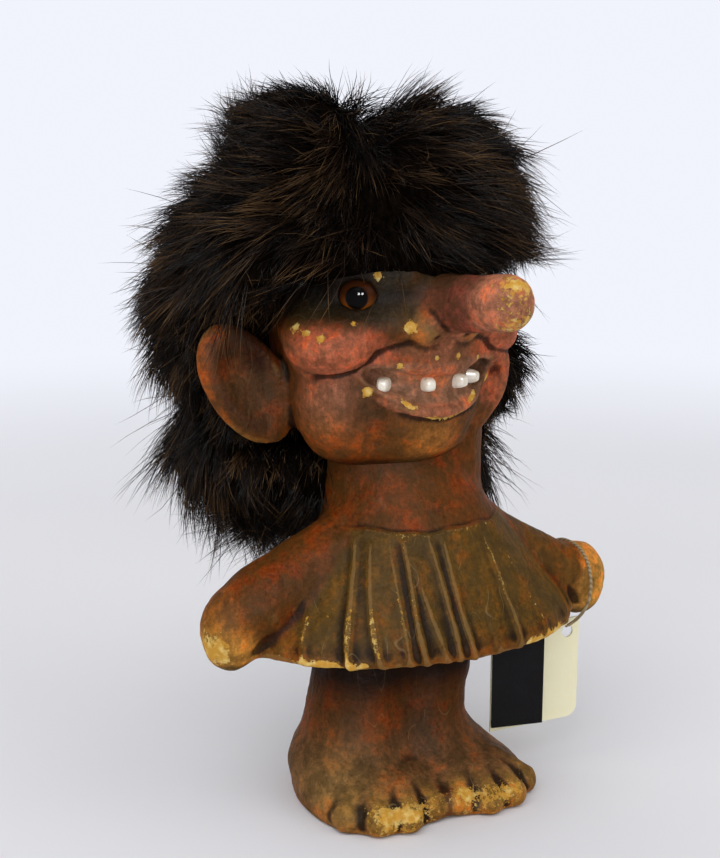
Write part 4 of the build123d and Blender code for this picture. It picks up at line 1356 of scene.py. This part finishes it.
class TrollPaint(bpy.types.PropertyGroup):
    """Colours of the paint, glass and fur."""

    skin: colour_property("Skin", "Red-brown ground of the skin", (0.148, 0.039, 0.006))
    amber_rust: colour_property("Amber rust", "Brightest warm paint", (0.560, 0.240, 0.048))
    rust: colour_property("Rust", "Warm highlights", (0.330, 0.085, 0.013))
    rose: colour_property("Rose", "Cheeks", (0.480, 0.128, 0.060))
    nose: colour_property("Nose", "Dark red of the nose", (0.205, 0.054, 0.034))
    blush: colour_property("Blush", "Palest pink of the nose and jowls", (0.560, 0.205, 0.115))
    lip: colour_property("Lip", "Lips", (0.430, 0.150, 0.078))
    gum: colour_property("Gum", "Band behind the teeth", (0.350, 0.158, 0.088))
    brow: colour_property("Brow", "Grey-green round the eyes", (0.034, 0.023, 0.008))
    ear: colour_property("Ear", "Inside of the ears", (0.165, 0.056, 0.018))
    olive: colour_property("Olive", "Ground of the dress", (0.122, 0.062, 0.009))
    leg: colour_property("Leg", "Ground of the legs", (0.120, 0.034, 0.006))
    foot: colour_property("Foot", "Ground of the feet", (0.190, 0.085, 0.032))
    # Painted shade: the dark laid in grooves, eye sockets and ears, over the brow, and under the hem and the
    # chin
    hollow: colour_property("Hollow", "Dark paint that stays in hollows", (0.006, 0.003, 0.0015))
    wash: colour_property("Wash", "Dark wash in patches", (0.052, 0.031, 0.010))
    rubbed: colour_property("Rubbed", "Paint rubbed thin on ridges", (0.300, 0.165, 0.050))
    scratch: colour_property("Scratch", "Pale scratches", (0.330, 0.240, 0.110))
    bare: colour_property("Bare", "Bare rubber in chips", (0.620, 0.320, 0.045))
    pale: colour_property("Pale", "Palest rubber in chips", (0.800, 0.580, 0.190))
    # Iris colours: painted light in its low part, painted shade in its high part
    amber: colour_property("Amber", "Low part of the iris", (0.340, 0.092, 0.009))
    amber_shaded_top: colour_property("Dark amber", "High part of the iris", (0.060, 0.016, 0.004))
    fur_dark: colour_property("Dark fur", "Darkest hairs", (0.0040, 0.0022, 0.0014))
    fur_brown: colour_property("Brown fur", "Lightest hairs", (0.030, 0.014, 0.006))
    fur_tip: colour_property("Fur tips", "Tips of the lighter hairs", (0.240, 0.135, 0.055))


class TrollStage(bpy.types.PropertyGroup):
    """Camera, floor and light."""

    eye: place_property("Camera", "Place of the camera", (-0.1362, -0.2673, 0.152))
    aim: place_property("Aim", "Point that the camera looks at", (-0.014, 0.0, 0.0905))
    lens: FloatProperty(name="Lens", description="Focal length in millimetres", default=55.8)
    floor: colour_property("Floor", "Colour of the floor", (0.84, 0.84, 0.88))
    sky: colour_property("Background", "Colour behind the figure", (0.88, 0.90, 0.98))
    ambient: FloatProperty(name="Ambient", description="Strength of the light from all round", default=0.68)
    key: FloatProperty(name="Key lamp", description="Power of the larger lamp", default=2.9)
    fill: FloatProperty(name="Fill lamp", description="Power of the smaller lamp", default=1.2)
    glint: FloatProperty(name="Glint lamps", description="Power of each lamp for the eyes", default=9.0)


# Steps that make the figure and its stage


class TROLL_OT_body(bpy.types.Operator):
    """Sculpt and paint the body"""

    bl_idname = "troll.body"
    bl_label = "Body"

    def execute(self, context):
        step = context.scene.troll_sculpt.body_step
        make_sculpt("body_skin", body_field, BODY_BOX, step, body_paint, "body_casting", on_head=False)
        return {"FINISHED"}


class TROLL_OT_head(bpy.types.Operator):
    """Sculpt and paint the head"""

    bl_idname = "troll.head"
    bl_label = "Head"

    def execute(self, context):
        step = context.scene.troll_sculpt.head_step
        make_sculpt("head_skin", head_field, HEAD_BOX, step, head_paint, "head_casting", on_head=True)
        return {"FINISHED"}


class TROLL_OT_eyes(bpy.types.Operator):
    """Make the glass eyes: a ball about the gaze, cut off behind, that keeps its angle and height"""

    bl_idname = "troll.eyes"
    bl_label = "Eyes"

    def execute(self, context):
        material = eye_glass()
        rows, columns = 40, 64
        tilt = np.linspace(1e-3, radians(118.0), rows)[:, None]
        turn = np.linspace(0, 2 * np.pi, columns, endpoint=False)[None]
        ahead, beside, up = np.cos(tilt) + 0 * turn, np.sin(tilt) * np.cos(turn), np.sin(tilt) * np.sin(turn)
        reach = np.sin(np.minimum(tilt, np.pi / 2)) + 0 * turn
        faces = shut_faces(rows, columns)[:, ::-1]
        for name, side in SIDES.items():
            middle, gaze = eye_middle(side)
            level = np.array([-gaze[1], gaze[0], 0.0])
            round_eye = ahead[..., None] * gaze + beside[..., None] * level + up[..., None] * UP
            points = middle + EYE_RADIUS * round_eye
            mesh = new_mesh(f"eye_{name}", to_world(shut(points)) * MM, faces)
            give(mesh, "reach", shut(reach))
            give(mesh, "high", shut(up))
            replaced = (f"eye_glass_{name}", f"eye_pupil_{name}")
            new_piece(f"eye_{name}", mesh, "figure", material, replaced)
        return {"FINISHED"}


class TROLL_OT_teeth(bpy.types.Operator):
    """Make the peg teeth: rounded squares that close in a dome"""

    bl_idname = "troll.teeth"
    bl_label = "Teeth"

    def execute(self, context):
        material = tooth_paint()
        rows, columns = 24, 36
        s = np.linspace(0, np.pi / 2 - 1e-3, rows)[:, None]
        turn = np.linspace(0, 2 * np.pi, columns, endpoint=False)[None]
        power = TOOTH_SQUARE
        square = (np.abs(np.cos(turn)) ** power + np.abs(np.sin(turn)) ** power) ** (-1 / power)
        middle = np.array([0.0, MUZZLE[1], TOOTH_Z])
        reach = TOOTH_ROOT + (TOOTH_TIP - TOOTH_ROOT) * np.sin(s) + 0 * turn
        faces = shut_faces(rows, columns)
        for number, angle in enumerate(TOOTH_ANGLES, start=1):
            a = radians(angle)
            out, level = np.array([sin(a), -cos(a), 0.0]), np.array([cos(a), sin(a), 0.0])
            size = np.cos(s) ** TOOTH_DOME * square * (TOOTH_HALF + TOOTH_VARIES * sin(3.0 * number))
            wide, tall = size * np.cos(turn), size * np.sin(turn) * TOOTH_TALL
            points = middle + reach[..., None] * out + wide[..., None] * level + tall[..., None] * UP
            mesh = new_mesh(f"peg_tooth_{number}", to_world(shut(points)) * MM, faces)
            give(mesh, "root", shut(1 - np.sin(s) + 0 * turn))
            new_piece(f"peg_tooth_{number}", mesh, "figure", material, (f"tooth_{number}",))
        return {"FINISHED"}


class TROLL_OT_wig(bpy.types.Operator):
    """Make the undercoat and grow the guard hairs of the wig"""

    bl_idname = "troll.wig"
    bl_label = "Wig"

    def execute(self, context):
        step = context.scene.troll_sculpt.fur_step / MM
        points, faces, normals = surface_of(undercoat_field, *FUR_BOX, step)
        mesh = new_mesh("wig_undercoat", to_world(points) * MM, faces)
        new_piece("wig_undercoat", mesh, "figure", undercoat_paint(), ("wig_fur", "wig_pelt"))
        make_fur(points, faces, normals)
        return {"FINISHED"}


class TROLL_OT_tag(bpy.types.Operator):
    """Give the folded tag its card"""

    bl_idname = "troll.tag"
    bl_label = "Tag"

    def execute(self, context):
        finish_node("tag_back_leaf", card_paint("cream_card", CREAM, CREAM_FIBRE, 0.62))
        finish_node("tag_cover_leaf", card_paint("black_card", BLACK, BLACK_FIBRE, 0.45))
        return {"FINISHED"}


class TROLL_OT_thread(bpy.types.Operator):
    """Lay the tag's thread round the left hand"""

    bl_idname = "troll.thread"
    bl_label = "Thread"

    def execute(self, context):
        curve = bpy.data.curves.new("tag_cotton", "CURVE")
        curve.dimensions = "3D"
        curve.bevel_depth, curve.bevel_resolution, curve.use_fill_caps = THREAD_DIAMETER / 2 * MM, 3, True
        curve.resolution_u = 12
        spline = curve.splines.new("NURBS")
        spline.points.add(len(THREAD_ROUTE) - 1)
        for point, (y, z) in zip(spline.points, THREAD_ROUTE):
            point.co = (THREAD_X * MM, y * MM, z * MM, 1.0)
        spline.order_u, spline.use_endpoint_u = 3, True
        piece = new_piece("tag_cotton", curve, "tag", thread_paint(), ("tag_thread",))
        return {"FINISHED"}


class TROLL_OT_hidden(bpy.types.Operator):
    """Give the pieces that hide inside the figure their finishes"""

    bl_idname = "troll.hidden"
    bl_label = "Hidden pieces"

    def execute(self, context):
        finish_node("sole_plug", plain_paint("cork_plug", CORK, CORK_DARK, 900, 0.7))
        steel = plain_paint("eye_wire", STEEL, STEEL_DARK, 2200, 0.25, 1.0)
        for side in SIDES:
            finish_node(f"eye_wire_{side}", steel)
        return {"FINISHED"}


class TROLL_OT_stage(bpy.types.Operator):
    """Make the floor, the lamps, the background and the camera"""

    bl_idname = "troll.stage"
    bl_label = "Stage"

    def execute(self, context):
        scene, stage = context.scene, context.scene.troll_stage
        scene.view_settings.view_transform = "Standard"
        camera = bpy.data.objects.new("camera", bpy.data.cameras.new("camera"))
        scene.collection.objects.link(camera)
        camera.location = stage.eye
        camera.rotation_euler = (Vector(stage.aim) - Vector(stage.eye)).to_track_quat("-Z", "Y").to_euler()
        camera.data.lens = stage.lens
        scene.camera = camera
        self.floor(stage)
        for name, place, size, power in LAMPS:
            lamp = self.lamp(name, place, size, getattr(stage, power))
            lamp.visible_diffuse = power != "glint"
        self.background(scene, stage)
        return {"FINISHED"}

    def floor(self, stage):
        """A round floor with painted shade of soft cloth folds, whose far part turns into the background for
        the camera.
        """
        rows, columns = 12, 64
        radius = np.geomspace(FLOOR_INNER, FLOOR_OUTER, rows)[:, None]
        turn = np.linspace(0, 2 * np.pi, columns, endpoint=False)[None]
        level = np.full((rows, columns), FLOOR_Z)
        points = np.stack([radius * np.cos(turn), radius * np.sin(turn), level], -1)
        mesh = new_mesh("floor", points.reshape(-1, 3), grid_faces(rows, columns)[:, ::-1])
        f = Finish("floor_cloth", Roughness=0.9, Specular_IOR_Level=0.1)
        # Painted shade of soft cloth folds on the flat floor
        fold = f.noise(3.0, 2)
        f.feed(Base_Color=f.mix(fold.between(0.35, 0.7) * 0.25, stage.floor, FLOOR_FOLD_SHADE))
        away = f.node("VectorMath", {"operation": "LENGTH"}, "Value", _0=f.place())
        glow = f.node("Emission", Color=(*stage.sky, 1.0), Strength=1.0)
        share = away.between(FADE_START, FADE_END) * f.seen()
        cloth = Wire(f.tree, f.shader.outputs[0])
        f.show(f.node("MixShader", _0=share, _1=cloth, _2=glow), "Material Output")
        mesh.materials.append(f.material)
        floor = bpy.data.objects.new("floor", mesh)
        bpy.context.scene.collection.objects.link(floor)

    def lamp(self, name, place, size, power):
        """A square soft lamp that faces the figure's head."""
        lamp = bpy.data.objects.new(name, bpy.data.lights.new(name, "AREA"))
        lamp.data.energy, lamp.data.size = power, size
        lamp.location = place
        lamp.rotation_euler = (LAMP_AIM - Vector(place)).to_track_quat("-Z", "Y").to_euler()
        bpy.context.scene.collection.objects.link(lamp)
        return lamp

    def background(self, scene, stage):
        """Even light from all round, and the pale background where the camera looks past the floor."""
        world = bpy.data.worlds.new("studio")
        world.use_nodes = True
        scene.world = world
        n = Nodes(world.node_tree)
        light = n.node("Background", Color=(1.0, 1.0, 1.0, 1.0), Strength=stage.ambient)
        sky = n.node("Background", Color=(*stage.sky, 1.0), Strength=1.0)
        n.show(n.node("MixShader", _0=n.seen(), _1=light, _2=sky), "World Output")


class TROLL_PT_panel(bpy.types.Panel):
    """Lists the steps that make the figure"""

    bl_label = "Folk troll"
    bl_idname = "TROLL_PT_panel"
    bl_space_type = "VIEW_3D"
    bl_region_type = "UI"
    bl_category = "Troll"

    def draw(self, context):
        for operator in STEPS:
            self.layout.operator(operator.bl_idname)


GROUPS = {
    "troll_sculpt": TrollSculpt,
    "troll_fur": TrollFur,
    "troll_paint": TrollPaint,
    "troll_stage": TrollStage,
}
STEPS = (TROLL_OT_stage, TROLL_OT_thread, TROLL_OT_tag, TROLL_OT_body, TROLL_OT_head, TROLL_OT_eyes,
         TROLL_OT_teeth, TROLL_OT_wig, TROLL_OT_hidden)


def register():
    """Adds the settings, the operators and the panel to Blender."""
    for group in GROUPS.values():
        bpy.utils.register_class(group)
    for name, group in GROUPS.items():
        setattr(bpy.types.Scene, name, PointerProperty(type=group))
    for operator in (*STEPS, TROLL_PT_panel):
        bpy.utils.register_class(operator)


def unregister():
    """Takes them out again."""
    for operator in (TROLL_PT_panel, *reversed(STEPS)):
        bpy.utils.unregister_class(operator)
    for name, group in GROUPS.items():
        delattr(bpy.types.Scene, name)
        bpy.utils.unregister_class(group)


def main():
    """Runs every step."""
    register()
    for step in STEPS:
        family, name = step.bl_idname.split(".")
        getattr(getattr(bpy.ops, family), name)()
    bpy.context.view_layer.update()


if __name__ == "__main__":
    main()
